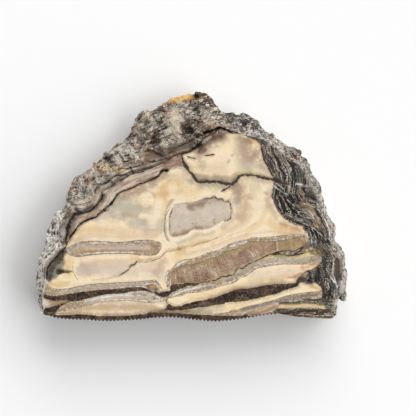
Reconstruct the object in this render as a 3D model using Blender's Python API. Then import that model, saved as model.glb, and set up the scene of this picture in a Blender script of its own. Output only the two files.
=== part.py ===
# Polished slice of a fossil mammoth molar, lying on its sawn underside with the polished face up.
# It is one natural piece: a rough bark of cementum runs round three sides of the cut, and the
# fourth side is a wall of fluted enamel. Metres, +Z up. The underside is at z = 0.

import math
import random

import bmesh
import bpy
import numpy as np
from mathutils import Vector, noise
from mathutils.geometry import delaunay_2d_cdt

MM = 0.001
NODE = "tooth_slice"

# Driving dimensions
LENGTH = 104.6 * MM          # along X, from the left rim to the lump on the right
THICKNESS = 18 * MM          # sawn underside to polished face
LEDGE = 0.7 * MM             # step down from the polished face to the bark beside it
LEDGE_WIDTH = 0.8 * MM
UNDERCUT = 2.2 * MM          # how far the bark draws in towards the underside
FLUTE_PITCH = 1.25 * MM      # enamel flutes along the front edge
FLUTE_DEPTH = 0.65 * MM
FLUTE_DRAW = 0.5 * MM        # the fluted wall leans in by this much at the underside
WALL_ROWS = (0.14, 0.38, 0.62, 0.84)      # heights of the rows of facets, as shares of the wall

# One flute, as (share of the pitch, share of the depth): its valley and two shoulders
FLUTE = ((0.0, -0.5), (0.34, 0.4), (0.68, 0.5))

# Roughness of the bark, as (size, height) of each layer of lumps
LUMPS = ((7 * MM, 1.4 * MM), (2.8 * MM, 0.9 * MM))
LUMPS_FADE = 2.5 * MM        # they grow to full height over this distance from the polished face
LAYER = 3.6 * MM             # the bark's growth layers end in ledges, this far apart
LAYER_LEDGE = 0.9 * MM
LAYER_WAVES = 6 * MM         # size of the bends in a ledge
WALL_LUMPS = 0.7             # their height on the wall, as a share of that on top
WALL_SMOOTHING = 3           # how often the wall below the rim is evened out
FLUTES_REACH = 3 * MM        # the wall turns from fluted to rough over this distance

# Spacing of the corners of the facets
EDGE_STEP = 1.6 * MM
BARK_STEP = 1.55 * MM
CRACK_STEP = 1.5 * MM
FACE_STEP = 7 * MM
SEED = 3

# The plan, in millimetres. Rim of the bark: from the lower left corner, over the top, to the lower right.
BARK_RIM = (
    (-48.0, -36.8), (-49.5, -36.6), (-51.2, -35.0), (-51.8, -32.0), (-52.5, -28.0), (-52.4, -24.0),
    (-51.8, -18.0), (-50.1, -14.8), (-49.2, -11.0), (-49.1, -8.3), (-47.8, -6.3), (-47.0, -4.2),
    (-45.8, -2.0), (-43.6, -1.5), (-42.9, 0.0), (-42.8, 3.0), (-42.0, 5.0), (-41.1, 7.4),
    (-39.8, 9.5), (-38.0, 10.3), (-36.2, 11.4), (-34.2, 12.8), (-33.4, 14.5), (-31.0, 15.8),
    (-30.2, 18.0), (-28.2, 18.6), (-26.4, 20.6), (-24.2, 21.2), (-22.0, 23.4), (-21.0, 25.8),
    (-20.3, 27.4), (-19.2, 29.8), (-17.6, 31.6), (-15.9, 32.3), (-14.2, 31.6), (-12.4, 32.8),
    (-10.4, 34.2), (-9.0, 35.0), (-7.9, 36.1), (-5.0, 36.9), (-1.5, 37.5), (0.2, 37.4),
    (0.8, 38.4), (2.2, 38.1), (4.2, 37.6), (6.2, 36.2), (7.3, 34.6), (8.6, 32.7),
    (10.6, 31.3), (13.2, 31.2), (15.2, 30.7), (16.5, 31.3), (18.4, 30.5), (20.4, 29.3),
    (22.3, 28.3), (22.9, 26.9), (24.3, 25.1), (25.6, 23.9), (26.8, 24.2), (28.2, 22.4),
    (30.2, 21.5), (31.8, 20.0), (34.4, 19.3), (36.5, 18.1), (36.3, 16.7), (38.0, 15.8),
    (39.3, 13.6), (40.3, 10.6), (42.8, 7.3), (43.6, 4.0), (44.5, 0.2), (45.6, -3.2),
    (47.8, -7.0), (48.1, -9.0), (48.0, -12.0), (50.0, -14.0), (51.3, -17.0), (51.4, -20.8),
    (52.1, -23.0), (51.7, -28.0), (51.8, -31.8), (50.2, -32.4), (48.8, -31.4), (48.3, -34.0),
    (47.8, -36.7), (46.0, -38.0),
)

# Foot of the fluted enamel, right to left, and the plain stretch that joins it to the bark
PLAIN_EDGE = ((46.0, -38.0), (40.0, -37.6), (34.0, -37.1), (28.0, -36.1))
FLUTED_EDGE = (
    (28.0, -36.2), (24.0, -36.5), (16.0, -37.8), (8.0, -38.6), (2.0, -38.2), (-6.0, -37.3),
    (-12.0, -37.4), (-18.0, -38.0), (-28.0, -38.5), (-36.0, -38.1), (-44.0, -37.7), (-48.0, -36.8),
)

# Border of the polished face on its three bark sides, from the lower left to the lower right
POLISHED_BORDER = (
    (-49.8, -35.5), (-50.1, -31.5), (-49.4, -25.5), (-49.0, -20.0), (-46.5, -17.0), (-43.6, -14.0),
    (-42.3, -11.0), (-41.8, -7.5), (-40.5, -4.6), (-38.5, -2.9), (-35.0, -2.2), (-32.2, 0.0),
    (-30.4, 2.6), (-30.0, 4.4), (-27.0, 6.3), (-22.0, 9.5), (-18.0, 10.9), (-14.0, 12.4),
    (-10.0, 14.0), (-7.0, 15.8), (-4.0, 16.9), (-1.0, 17.7), (2.3, 19.7), (5.7, 22.0),
    (9.0, 23.6), (13.0, 24.8), (16.7, 23.4), (21.0, 22.6), (24.0, 21.4), (28.0, 18.6),
    (34.0, 14.0), (38.0, 10.0), (40.5, 6.0), (41.8, 2.0), (42.8, -2.0), (45.0, -5.0),
    (46.2, -11.0), (46.7, -15.0), (49.2, -17.5), (49.8, -20.5), (48.8, -26.3), (47.5, -31.5),
    (47.0, -36.5),
)

# How far the rim of the bark lies below the polished face, in millimetres, at places on the plan
RIM_DROPS = (
    (-50, -36, 4.0), (-52, -26, 8.5), (-47, -6, 9.0), (-38, 11, 10.0), (-25, 22, 10.5),
    (-16, 32, 10.0), (-4, 37, 11.5), (3, 38, 9.5), (14, 31, 10.5), (22, 28, 9.0), (30, 21, 9.5),
    (36, 18, 7.0), (42, 8, 9.0), (47, -6, 8.0), (51, -18, 9.5), (52, -28, 10.0), (48, -37, 2.0),
)

# Open cracks and folds: a line on the plan, its half width and its depth, in millimetres
CRACKS = (
    (
        ((-43.4, -14.2), (-42.2, -10.3), (-41.8, -7.5), (-40.5, -4.6), (-38.5, -2.9), (-35.0, -2.2),
         (-32.2, 0.0), (-30.4, 2.6), (-30.0, 4.4), (-27.0, 6.3), (-22.0, 9.5), (-18.0, 10.9),
         (-14.0, 12.4), (-10.0, 14.0), (-7.0, 15.8), (-4.0, 16.9), (-1.0, 17.8), (2.3, 20.0)),
        0.9, 1.7,
    ),
    (
        ((-41.8, -12.2), (-39.8, -9.2), (-37.8, -6.6), (-35.0, -4.9), (-32.2, -3.9), (-29.2, -1.2),
         (-27.3, 0.6), (-25.8, 2.8), (-24.6, 4.0), (-20.0, 5.8), (-16.0, 7.5), (-12.0, 9.4),
         (-10.5, 11.2), (-8.5, 11.4)),
        0.6, 1.3,
    ),
    (((-44.0, -15.5), (-46.0, -18.0), (-48.0, -19.6), (-48.9, -22.0), (-48.6, -25.0)), 1.1, 1.5),
    (
        ((3.6, 24.0), (5.7, 24.7), (7.0, 25.2), (8.3, 25.8), (9.7, 25.7), (11.0, 25.2), (12.6, 24.4)),
        0.8, 5.0,
    ),
    (
        ((38.0, 10.0), (40.5, 6.0), (41.8, 2.0), (42.8, -2.0), (45.0, -5.0), (46.2, -11.0),
         (46.7, -15.0), (49.2, -17.5), (49.8, -20.5), (48.8, -26.3), (47.5, -31.5), (47.2, -35.0)),
        0.6, 1.2,
    ),
)

# Strip between the two cracks on the left, a little below the polished face. It rises to the face
# on its way to the right.
STRIP_DEPTH = 0.6 * MM
STRIP_END = -12 * MM
STRIP_FADE = 10 * MM
STRIP = (
    (-41.9, -11.8), (-41.8, -7.5), (-38.5, -2.9), (-35.0, -2.2), (-30.4, 2.6), (-27.0, 6.3),
    (-18.0, 10.9), (-10.0, 14.0), (-4.0, 16.9), (-3.5, 12.5), (-8.5, 11.4), (-12.0, 9.4),
    (-20.0, 5.8), (-24.6, 4.0), (-27.3, 0.6), (-32.2, -3.9), (-37.8, -6.6), (-39.8, -9.2),
)

# Single lumps and pits of the bark: place, radius and height, in millimetres, pits below zero
KNOBS = (
    (3.6, 35.2, 3.0, 1.8), (-16.5, 30.2, 2.4, 1.3), (-4.0, 35.6, 3.4, 0.8), (19.5, 28.6, 3.2, 1.2),
    (26.4, 22.6, 2.2, 1.0), (34.8, 17.6, 2.2, 1.3), (50.3, -24.0, 2.6, 1.2), (-27.0, 16.8, 3.0, 1.0),
    (-33.6, 1.2, 2.6, 1.0), (-7.0, 27.0, 4.2, 1.0), (5.0, 28.6, 3.4, 1.2), (-22.0, 18.2, 2.4, 0.9),
    (-18.0, 21.3, 1.7, -2.0), (-13.2, 21.4, 2.4, -1.8), (-16.0, 27.6, 1.5, -1.4), (-1.6, 23.4, 3.0, -1.6),
    (17.0, 26.8, 1.0, -1.8), (14.7, 30.2, 1.2, -1.0), (-40.8, 0.3, 0.9, -1.2), (-39.3, -1.5, 0.9, -1.2),
    (-29.2, 15.4, 1.3, -1.2), (1.2, 36.2, 1.1, -1.6), (0.6, 31.0, 1.3, -1.0), (40.0, 8.0, 1.4, -0.8),
    (33.3, -3.0, 0.9, -1.0), (37.5, -8.0, 0.9, -1.0), (50.2, -30.4, 1.2, -0.8),
)


def plan(points):
    return np.array(points, float) * MM


def subdivided(line, longest):
    """A line with its corners kept and no stretch longer than the length given."""
    points = []
    for start, end in zip(line, line[1:]):
        pieces = math.ceil(np.linalg.norm(end - start) / longest)
        points += [start + (end - start) * i / pieces for i in range(pieces)]
    return np.array(points + [line[-1]])


def distance_to(line, points):
    """Shortest distance from each point to a line of straight stretches."""
    start = line[:-1]
    along = line[1:] - start
    share = ((points[:, None] - start) * along).sum(2) / (along**2).sum(1)
    foot = start + share.clip(0, 1)[..., None] * along
    return np.linalg.norm(points[:, None] - foot, axis=2).min(1)


def inside(loop, points):
    """Whether each point lies in a closed loop, by counting the edges to its right."""
    start, end = loop, np.roll(loop, -1, axis=0)
    rise = end[:, 1] - start[:, 1]
    rise[rise == 0] = 1e-12
    spans = (start[:, 1] > points[:, 1:]) != (end[:, 1] > points[:, 1:])
    crossing = start[:, 0] + (points[:, 1:] - start[:, 1]) * (end[:, 0] - start[:, 0]) / rise
    return (spans & (points[:, :1] < crossing)).sum(1) % 2 == 1


def smooth(share):
    share = np.clip(share, 0, 1)
    return share * share * (3 - 2 * share)


def fluted(line):
    """The enamel's edge: flutes set off square to the line."""
    reach = np.append(0, np.cumsum(np.linalg.norm(np.diff(line, axis=0), axis=1)))
    flutes = round(reach[-1] / FLUTE_PITCH)
    at = np.array([i + share for i in range(flutes) for share, _ in FLUTE]) * reach[-1] / flutes
    height = np.array([height for _, height in FLUTE] * flutes) * FLUTE_DEPTH
    base = np.column_stack([np.interp(at, reach, line[:, k]) for k in (0, 1)])
    along = np.gradient(base, axis=0)
    along /= np.linalg.norm(along, axis=1)[:, None]
    outward = np.column_stack([-along[:, 1], along[:, 0]])
    return base + outward * height[:, None]


def outline():
    bark = subdivided(plan(BARK_RIM), EDGE_STEP)
    plain = subdivided(plan(PLAIN_EDGE), EDGE_STEP)
    return np.vstack([bark[:-1], plain[:-1], fluted(plan(FLUTED_EDGE))])


def polished_loop():
    """The polished face's border, closed well outside the fluted edge, which the polish reaches."""
    below = plan(((60, -36.5), (60, -50), (-60, -50), (-60, -35.5)))
    return np.vstack([plan(POLISHED_BORDER), below])


def rim_drop(points):
    """Depth of the rim below the polished face, blended from the places where it is set."""
    places = plan(RIM_DROPS)
    weight = 1 / (np.linalg.norm(points[:, None] - places[:, :2], axis=2) ** 2 + MM**2) ** 1.5
    return (weight * places[:, 2]).sum(1) / weight.sum(1)


def lumps(points, height=0.0):
    """Rough bark, as layers of smooth noise."""
    total = np.zeros(len(points))
    for size, rise in LUMPS:
        places = [Vector((x, y, height)) / size for x, y in points]
        total += rise * np.array([noise.noise(place) for place in places])
    return total


def ledges(points, from_face):
    """Broken ends of the growth layers, as steps down at uneven distances from the polished face."""
    bends = np.array([noise.noise(Vector((x, y, 0)) / LAYER_WAVES) for x, y in points])
    return LAYER_LEDGE * (0.5 - (from_face / LAYER + 1.3 * bends) % 1)


def top_height(points):
    rim = outline()
    bark = ~inside(polished_loop(), points)
    from_face = distance_to(plan(POLISHED_BORDER), points)
    from_rim = distance_to(np.vstack([rim, rim[:1]]), points)
    share = from_face / (from_face + from_rim + 1e-9)
    step = LEDGE * smooth(from_face / LEDGE_WIDTH)
    slope = (rim_drop(points) - LEDGE) * share**1.1
    rough = lumps(points) + ledges(points, from_face)
    rough *= smooth(from_face / LUMPS_FADE) * (1 - 0.6 * share)
    height = THICKNESS + np.where(bark, rough - step - slope, 0)
    sunk = smooth((STRIP_END - points[:, 0]) / STRIP_FADE)
    height -= STRIP_DEPTH * sunk * inside(plan(STRIP), points)
    for x, y, radius, rise in plan(KNOBS):
        apart = np.linalg.norm(points - (x, y), axis=1)
        height += rise * smooth(1.3 - apart / radius)
    for line, half_width, depth in CRACKS:
        apart = distance_to(plan(line), points)
        height -= depth * MM * smooth(1.15 - apart / (half_width * MM))
    return np.minimum(height, THICKNESS)


def crack_rows():
    """Corners along each crack: its floor, then its two sides."""
    rows = []
    for line, half_width, _ in CRACKS:
        line = plan(line)
        along = np.gradient(line, axis=0)
        along /= np.linalg.norm(along, axis=1)[:, None]
        across = np.column_stack([-along[:, 1], along[:, 0]]) * half_width * MM * 1.2
        rows += [subdivided(side, CRACK_STEP) for side in (line, line + across, line - across)]
    return np.vstack(rows)


def scattered(step, wobble, rng):
    """A loose triangular grid over the whole slice."""
    reach = LENGTH / 2 + step
    points = []
    for row in range(round(2 * reach / (step * 0.866))):
        for column in range(round(2 * reach / step)):
            x = -reach + (column + 0.5 * (row % 2)) * step
            y = -reach + row * step * 0.866
            points.append((x + rng.uniform(-wobble, wobble) * step, y + rng.uniform(-wobble, wobble) * step))
    return np.array(points)


def kept_apart(points, others, gap):
    """The points that keep clear of the others, and of each other, in the order given."""
    kept = list(others)
    for point in points:
        if np.linalg.norm(np.array(kept) - point, axis=1).min() > gap:
            kept.append(point)
    return np.array(kept[len(others):]).reshape(-1, 2)


def top_plan():
    """Corners of the top face, the outline first, and the edges that the facets must keep."""
    rng = random.Random(SEED)
    rim = outline()
    border = subdivided(plan(POLISHED_BORDER), EDGE_STEP)
    border = border[inside(rim, border)]
    points = np.vstack([rim, border])
    cracks = crack_rows()
    cracks = cracks[inside(rim, cracks)]
    points = np.vstack([points, kept_apart(cracks, points, 0.45 * MM)])
    bark = scattered(BARK_STEP, 0.28, rng)
    bark = bark[inside(rim, bark) & ~inside(polished_loop(), bark)]
    points = np.vstack([points, kept_apart(bark, points, 0.6 * BARK_STEP)])
    face = scattered(FACE_STEP, 0.2, rng)
    face = face[inside(rim, face) & inside(polished_loop(), face)]
    points = np.vstack([points, kept_apart(face, points, 0.4 * FACE_STEP)])
    edges = [(i, (i + 1) % len(rim)) for i in range(len(rim))]
    edges += [(i, i + 1) for i in range(len(rim), len(rim) + len(border) - 1)]
    return points, edges


def slab():
    """A straight slab of the slice's plan, its wall cut into rows of facets."""
    points, edges = top_plan()
    corners, _, facets, *_ = delaunay_2d_cdt([Vector(p) for p in points], edges, [], 1, 1e-7)
    bm = bmesh.new()
    verts = [bm.verts.new((*corner, 0)) for corner in corners]
    for facet in facets:
        bm.faces.new([verts[i] for i in facet])
    bmesh.ops.delete(bm, geom=[v for v in bm.verts if not v.link_faces], context="VERTS")
    raised = bmesh.ops.extrude_face_region(bm, geom=bm.faces[:], use_keep_orig=True)
    top = [v for v in raised["geom"] if isinstance(v, bmesh.types.BMVert)]
    bmesh.ops.translate(bm, verts=top, vec=(0, 0, THICKNESS))
    for share in WALL_ROWS:
        everything = bm.verts[:] + bm.edges[:] + bm.faces[:]
        bmesh.ops.bisect_plane(bm, geom=everything, plane_co=(0, 0, share * THICKNESS), plane_no=(0, 0, 1))
    bmesh.ops.recalc_face_normals(bm, faces=bm.faces[:])
    underside = [f for f in bm.faces if f.normal.z < -0.5]
    bmesh.ops.dissolve_faces(bm, faces=underside, use_verts=True)
    return bm


def soften_wall(bm, bark):
    """Evens out the wall under the rim, which would repeat each corner of the rim as a rib."""
    below_rim = [v for v in bark if v.co.z < 0.99 * THICKNESS]
    for _ in range(WALL_SMOOTHING):
        bmesh.ops.smooth_vert(bm, verts=below_rim, factor=0.5, use_axis_x=True, use_axis_y=True)


def shape(bm):
    """Moves the slab's corners to the natural surface."""
    bm.normal_update()
    fluted_line = plan(PLAIN_EDGE + FLUTED_EDGE[1:])
    wall = [v for v in bm.verts if any(abs(f.normal.z) < 0.5 for f in v.link_faces)]
    outward = [Vector((v.normal.x, v.normal.y, 0)).normalized() for v in wall]
    from_flutes = distance_to(fluted_line, np.array([v.co.xy for v in wall]))
    barkiness = smooth(from_flutes / FLUTES_REACH)
    heights = top_height(np.array([v.co.xy for v in bm.verts]))
    soften_wall(bm, [v for v, bark in zip(wall, barkiness) if bark == 1])
    for v, out, bark in zip(wall, outward, barkiness):
        share = v.co.z / THICKNESS
        rough = lumps([v.co.xy], v.co.z)[0] * WALL_LUMPS * bark * (1 - share**4)
        draw = (UNDERCUT * bark + FLUTE_DRAW * (1 - bark)) * (1 - share) ** 1.4
        v.co += out * min(rough - draw, 0)
    for v, height in zip(bm.verts, heights):
        v.co.z *= height / THICKNESS


def rest_on_floor(bm):
    """Puts the middle of the slice's box, at its underside, on the origin."""
    places = np.array([v.co for v in bm.verts])
    middle = (places.min(0) + places.max(0)) / 2
    bmesh.ops.translate(bm, verts=bm.verts, vec=(-middle[0], -middle[1], 0))


def fossil_material():
    material = bpy.data.materials.new("fossil_tooth")
    material.use_nodes = True
    shader = material.node_tree.nodes["Principled BSDF"]
    shader.inputs["Base Color"].default_value = (0.56, 0.44, 0.3, 1)
    shader.inputs["Roughness"].default_value = 0.4
    shader.inputs["Metallic"].default_value = 0
    return material


def main():
    for old in list(bpy.data.objects):
        bpy.data.objects.remove(old)
    parts = bpy.data.collections.new("mammoth_tooth_slice")
    bpy.context.scene.collection.children.link(parts)

    bm = slab()
    shape(bm)
    rest_on_floor(bm)
    bmesh.ops.triangulate(bm, faces=bm.faces[:])
    mesh = bpy.data.meshes.new(NODE)
    bm.to_mesh(mesh)
    bm.free()
    mesh.shade_smooth()
    mesh.set_sharp_from_angle(angle=math.radians(35))
    mesh.materials.append(fossil_material())
    parts.objects.link(bpy.data.objects.new(NODE, mesh))


main()
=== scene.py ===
import math
import random

import bpy
import numpy as np
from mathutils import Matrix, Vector, kdtree, noise
from mathutils.geometry import delaunay_2d_cdt


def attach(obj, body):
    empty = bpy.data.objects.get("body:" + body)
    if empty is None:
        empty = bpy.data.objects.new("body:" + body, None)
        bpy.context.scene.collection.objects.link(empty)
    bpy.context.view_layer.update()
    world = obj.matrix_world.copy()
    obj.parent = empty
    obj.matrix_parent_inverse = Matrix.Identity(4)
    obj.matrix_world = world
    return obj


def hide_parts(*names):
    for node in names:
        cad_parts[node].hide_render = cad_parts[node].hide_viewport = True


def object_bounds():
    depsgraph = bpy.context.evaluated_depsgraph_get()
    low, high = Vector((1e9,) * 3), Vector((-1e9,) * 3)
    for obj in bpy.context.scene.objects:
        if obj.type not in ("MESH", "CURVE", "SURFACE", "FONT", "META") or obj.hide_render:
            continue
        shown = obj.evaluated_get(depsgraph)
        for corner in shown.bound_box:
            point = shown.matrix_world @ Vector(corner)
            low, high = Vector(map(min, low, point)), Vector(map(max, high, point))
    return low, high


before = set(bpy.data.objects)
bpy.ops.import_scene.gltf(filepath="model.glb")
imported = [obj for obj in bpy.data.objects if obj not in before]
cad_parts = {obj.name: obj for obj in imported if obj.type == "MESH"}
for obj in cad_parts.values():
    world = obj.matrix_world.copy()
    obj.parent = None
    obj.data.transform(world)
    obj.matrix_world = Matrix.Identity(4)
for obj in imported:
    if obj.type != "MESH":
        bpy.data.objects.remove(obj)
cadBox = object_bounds()
print("frame loaded")

# Polished slice of a fossil mammoth molar, camera looking straight down on the cut face.
# The plan is in millimetres, X to the right and Y up as the slice is seen, before it is centred.
tooth = {
    "thickness": 18.0,
    "seed": 11,
    "sharpAngle": 50,
    "outlineStep": 0.34,      # spacing of the mesh's corners along the outline
    "rimStep": 0.12,          # along the rim where distances to it are measured
    "edgeStep": 0.34,         # along the edges of the bands
    "enamelStep": 0.26,
    "lineStep": 0.3,          # along thin lines and small loops
    "strokeStep": 0.6,        # along strokes and guides
    "edgeGap": 0.2,           # the least gap between corners of neighbouring edges
    "faceStep": 0.46,         # on the polished face
    "barkStep": 0.31,         # on the bark
    "undersideStep": 1.05,
    "undersideGap": 0.7,
    "wallRows": 26,
    "flutePitch": 1.25,
    "fluteStep": 0.2,
    "fluteDepth": 0.62,
    "fluteLevel": 0.55,       # the share of a flute that lies behind the line
    "fluteUneven": (3.0, 0.3),              # size and share
    "fluteDraw": 0.5,         # how far the fluted wall leans in
    "fluteBlend": 3,          # the width over which it turns into bark
    "scallopPitch": 1.25,
    "scallopLevel": 0.6,
    "scallopWobble": (1.7, 1.5),            # size of the unevenness, and how far it shifts a scallop
    "undercut": 2.2,          # how far the bark leans in
    "undercutBend": 1.4,
    "ledge": 0.7,             # step down from the polish to the bark
    "ledgeWidth": 0.5,
    "slopeBend": 1.1,
    "lumps": ((7.0, 1.4), (2.8, 0.9)),                  # size and height of the bark's roughness
    "crags": ((1.5, 0.42), (0.75, 0.26), (1.05, 0.3)),  # the last are its grains
    "grainLevel": 0.45,
    "rimCrags": ((1.3, 0.34), (0.6, 0.2)),
    "rimInset": 0.06,
    "rimFade": 6,             # corners over which the crags fade at the rim's ends
    "lumpsFrom": 2.5,         # distance from the polish at which the lumps are full
    "cragsFrom": 1.2,
    "rimCalm": 0.6,           # how much lower the lumps are at the rim
    "barkReach": 40,
    "layer": 3.6,             # width of the bark's layers
    "layerLedge": 0.9,
    "layerWaves": 6.0,        # size of the bends in them
    "layerBend": 1.3,
    "wallLumps": 0.7,         # how high the lumps are on the wall, as a share
    "wallEvening": (0.6, 9),                # corners that the wall is evened over, at the rim and added below
    "crackUneven": (1.2, 0.12),             # size and width
    "strokeUneven": ((2.4, 0.5), (0.9, 0.35)),
    "strokesDown": (0.08, 0.25, 3),         # share of the wall that strokes reach down, unevenness, its size
}
seeds = {
    "rim": 1, "cragPatches": 3, "flutes": 4, "cracks": 5, "strokes": 6, "lines": 8, "wallStrokes": 12,
    "bark": 20, "wall": 30,
}
perMetre = 1000          # millimetres
boxMargin = 0.01         # how far the piece stays inside the box of the solid
denseStep = 0.08         # spacing on a smooth line before it is resampled
tiny = 1e-9              # keeps a zero length from being divided by
tinySquare = 1e-12
farFromRegion = 8.0      # how far outside a band is still measured
farFromLine = -4.0       # the strength of a line where it is out of reach

# Rim of the bark, from the lower left corner over the top to the lower right
barkRim = (
    (-48, -36.8), (-49.5, -36.6), (-51.2, -35), (-51.8, -32), (-52.5, -28), (-52.4, -24), (-51.8, -18),
    (-50.1, -14.8), (-49.2, -11), (-49.1, -8.3), (-47.8, -6.3), (-47, -4.2), (-45.8, -2), (-43.6, -1.5),
    (-42.9, 0), (-42.8, 3), (-42, 5), (-41.1, 7.4), (-39.8, 9.5), (-38, 10.3), (-36.2, 11.4),
    (-34.2, 12.8), (-33.4, 14.5), (-31, 15.8), (-30.2, 18), (-28.2, 18.6), (-26.4, 20.6), (-24.2, 21.2),
    (-22, 23.4), (-21, 25.8), (-20.3, 27.4), (-19.2, 29.8), (-17.6, 31.6), (-15.9, 32.3), (-14.2, 31.6),
    (-12.4, 32.8), (-10.4, 34.2), (-9, 35), (-7.9, 36.1), (-5, 36.9), (-1.5, 37.5), (0.2, 37.4),
    (0.8, 38.4), (2.2, 38.1), (4.2, 37.6), (6.2, 36.2), (7.3, 34.6), (8.6, 32.7), (10.6, 31.3),
    (13.2, 31.2), (15.2, 30.7), (16.5, 31.3), (18.4, 30.5), (20.4, 29.3), (22.3, 28.3), (22.9, 26.9),
    (24.3, 25.1), (25.6, 23.9), (26.8, 24.2), (28.2, 22.4), (30.2, 21.5), (31.8, 20), (34.4, 19.3),
    (36.5, 18.1), (36.3, 16.7), (38, 15.8), (39.3, 13.6), (40.3, 10.6), (42.8, 7.3), (43.6, 4),
    (44.5, 0.2), (45.6, -3.2), (47.8, -7), (48.1, -9), (48, -12), (50, -14), (51.3, -17),
    (51.4, -20.8), (52.1, -23), (51.7, -28), (51.8, -31.8), (50.2, -32.4), (48.8, -31.4), (48.3, -34),
    (47.8, -36.7), (46, -38),
)
plainEdge = ((46, -38), (40, -37.6), (34, -37.1), (28, -36.1))
flutedEdge = (
    (28, -36.2), (24, -36.5), (16, -37.8), (8, -38.6), (2, -38.2), (-6, -37.3), (-12, -37.4),
    (-18, -38), (-28, -38.5), (-36, -38.1), (-44, -37.7), (-48, -36.8),
)

# Border of the polish on its three bark sides, from the lower left to the lower right
polishedBorder = (
    (-49.8, -35.5), (-50.1, -31.5), (-49.4, -25.5), (-49, -20), (-46.5, -17), (-43.6, -14),
    (-42.3, -11), (-41.8, -7.5), (-40.5, -4.6), (-38.5, -2.9), (-35, -2.2), (-32.2, 0), (-30.4, 2.6),
    (-30, 4.4), (-27, 6.3), (-22, 9.5), (-18, 10.9), (-14, 12.4), (-10, 14), (-7, 15.8), (-4, 16.9),
    (-1, 17.7), (2.3, 19.7), (5.7, 22), (9, 23.6), (13, 24.8), (16.7, 23.4), (21, 22.6), (24, 21.4),
    (28, 18.6), (34, 14), (38, 10), (40.5, 6), (41.8, 2), (42.8, -2), (45, -5), (46.2, -11),
    (46.7, -15), (49.2, -17.5), (49.8, -20.5), (48.8, -26.3), (47.5, -31.5), (47, -36.5),
)

# How far the rim lies below the polish: place on the plan and depth
rimDrops = (
    (-50, -36, 2.5), (-52, -26, 3.6), (-50, -14, 4), (-47, -6, 5), (-38, 11, 8.5), (-25, 22, 10.5),
    (-16, 32, 10), (-4, 37, 11.5), (3, 38, 9.5), (14, 31, 10.5), (22, 28, 9), (30, 21, 9.5),
    (36, 18, 7), (42, 8, 9), (47, -6, 8), (51, -18, 9.5), (52, -28, 10), (48, -37, 2),
)

# Open cracks: a line, its half width and its depth. Two of them follow the border of the polish.
cracks = (
    (((-43.4, -14.2), (-42.2, -10.3)) + polishedBorder[7:21] + ((-1, 17.8), (2.3, 20)), 0.9, 1.7),
    (
        ((-41.8, -12.2), (-39.8, -9.2), (-37.8, -6.6), (-35, -4.9), (-32.2, -3.9), (-29.2, -1.2),
         (-27.3, 0.6), (-25.8, 2.8), (-24.6, 4), (-20, 5.8), (-16, 7.5), (-12, 9.4), (-10.5, 11.2),
         (-8.5, 11.4)),
        0.5, 1.3,
    ),
    (((-44, -15.5), (-46, -18), (-48, -19.6), (-48.9, -22), (-48.6, -25)), 0.8, 0.8),
    (
        ((3.6, 24), (5.7, 24.7), (7, 25.2), (8.3, 25.8), (9.7, 25.7), (11, 25.2), (12.2, 24.6)),
        0.36, 3,
    ),
    (polishedBorder[31:42] + ((47.2, -35),), 0.6, 1.2),
)

# The sunk strip between the two cracks on the left, which rises to the face on its way to the right
strip = {
    "depth": 0.6,
    "edge": 0.5,
    "end": -12.0,
    "fade": 10.0,
    "loop": (
        (-41.9, -11.8), (-41.8, -7.5), (-38.5, -2.9), (-35, -2.2), (-30.4, 2.6), (-27, 6.3),
        (-18, 10.9), (-10, 14), (-4, 16.9), (-3.5, 12.5), (-8.5, 11.4), (-12, 9.4), (-20, 5.8),
        (-24.6, 4), (-27.3, 0.6), (-32.2, -3.9), (-37.8, -6.6), (-39.8, -9.2),
    ),
}

# Single lumps and pits of the bark: place, radius and height
knobs = (
    (3.6, 35.2, 3, 1.8), (-16.5, 30.2, 2.4, 1.3), (-4, 35.6, 3.4, 0.8), (19.5, 28.6, 3.2, 1.2),
    (26.4, 22.6, 2.2, 1), (34.8, 17.6, 2.2, 1.3), (50.3, -24, 2.6, 1.2), (-27, 16.8, 3, 1),
    (-33.6, 1.2, 2.6, 1), (-7, 27, 4.2, 1), (5, 28.6, 3.4, 1.2), (-22, 18.2, 2.4, 0.9),
    (-18, 21.3, 1.7, -2), (-13.2, 21.4, 2.4, -1.8), (-16, 27.6, 1.5, -1.4), (-1.6, 23.4, 3, -1.6),
    (17, 26.8, 1, -1.8), (14.7, 30.2, 1.2, -1), (-40.8, 0.3, 0.9, -1.2), (-39.3, -1.5, 0.9, -1.2),
    (-29.2, 15.4, 1.3, -1.2), (1.2, 36.2, 1.1, -1.6), (0.6, 31, 1.3, -1), (40, 8, 1.4, -0.8),
    (33.3, -3, 0.9, -1), (37.5, -8, 0.9, -1), (50.2, -30.4, 1.2, -0.8),
)

# Edges that neighbouring bands share
leftEnamelTop = (
    (-45, -28.1), (-42, -28), (-40, -27.6), (-36, -26.8), (-32, -26.3), (-26, -26), (-22, -25.8),
    (-18, -25.6), (-14, -25.2), (-12.5, -25.2),
)
darkSeamTop = (
    (-49.7, -29.6), (-48.5, -30.1), (-46, -30.3), (-44, -30.1), (-42, -29.8), (-38, -29.1), (-34, -28.6),
    (-30, -28.2), (-26, -28), (-22, -27.5), (-18, -27.4), (-16, -27.7), (-14, -28.5), (-12, -29),
    (-11.2, -29.3), (-10.3, -29),
)
darkSeamFoot = (
    (-41.2, -32.2), (-40, -32.1), (-38, -32), (-36, -31.3), (-34, -30.9), (-32, -30.4), (-30, -30),
    (-28, -29.7), (-24, -29.5), (-22, -29.2), (-20, -28.7), (-16, -28.6), (-14, -29.1), (-13, -29.4),
    (-12, -30.1), (-11, -30.5), (-10, -30.8), (-9, -30.6),
)
darkSeamTail = (
    (-8.3, -30.3), (-7.6, -29.8), (-7, -29.1), (-6, -28.8), (-5, -28.3), (-4, -27.8), (-3, -27.4),
    (-1.8, -27), (-0.6, -26.7), (0.5, -27), (2.3, -26.3),
)
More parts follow.
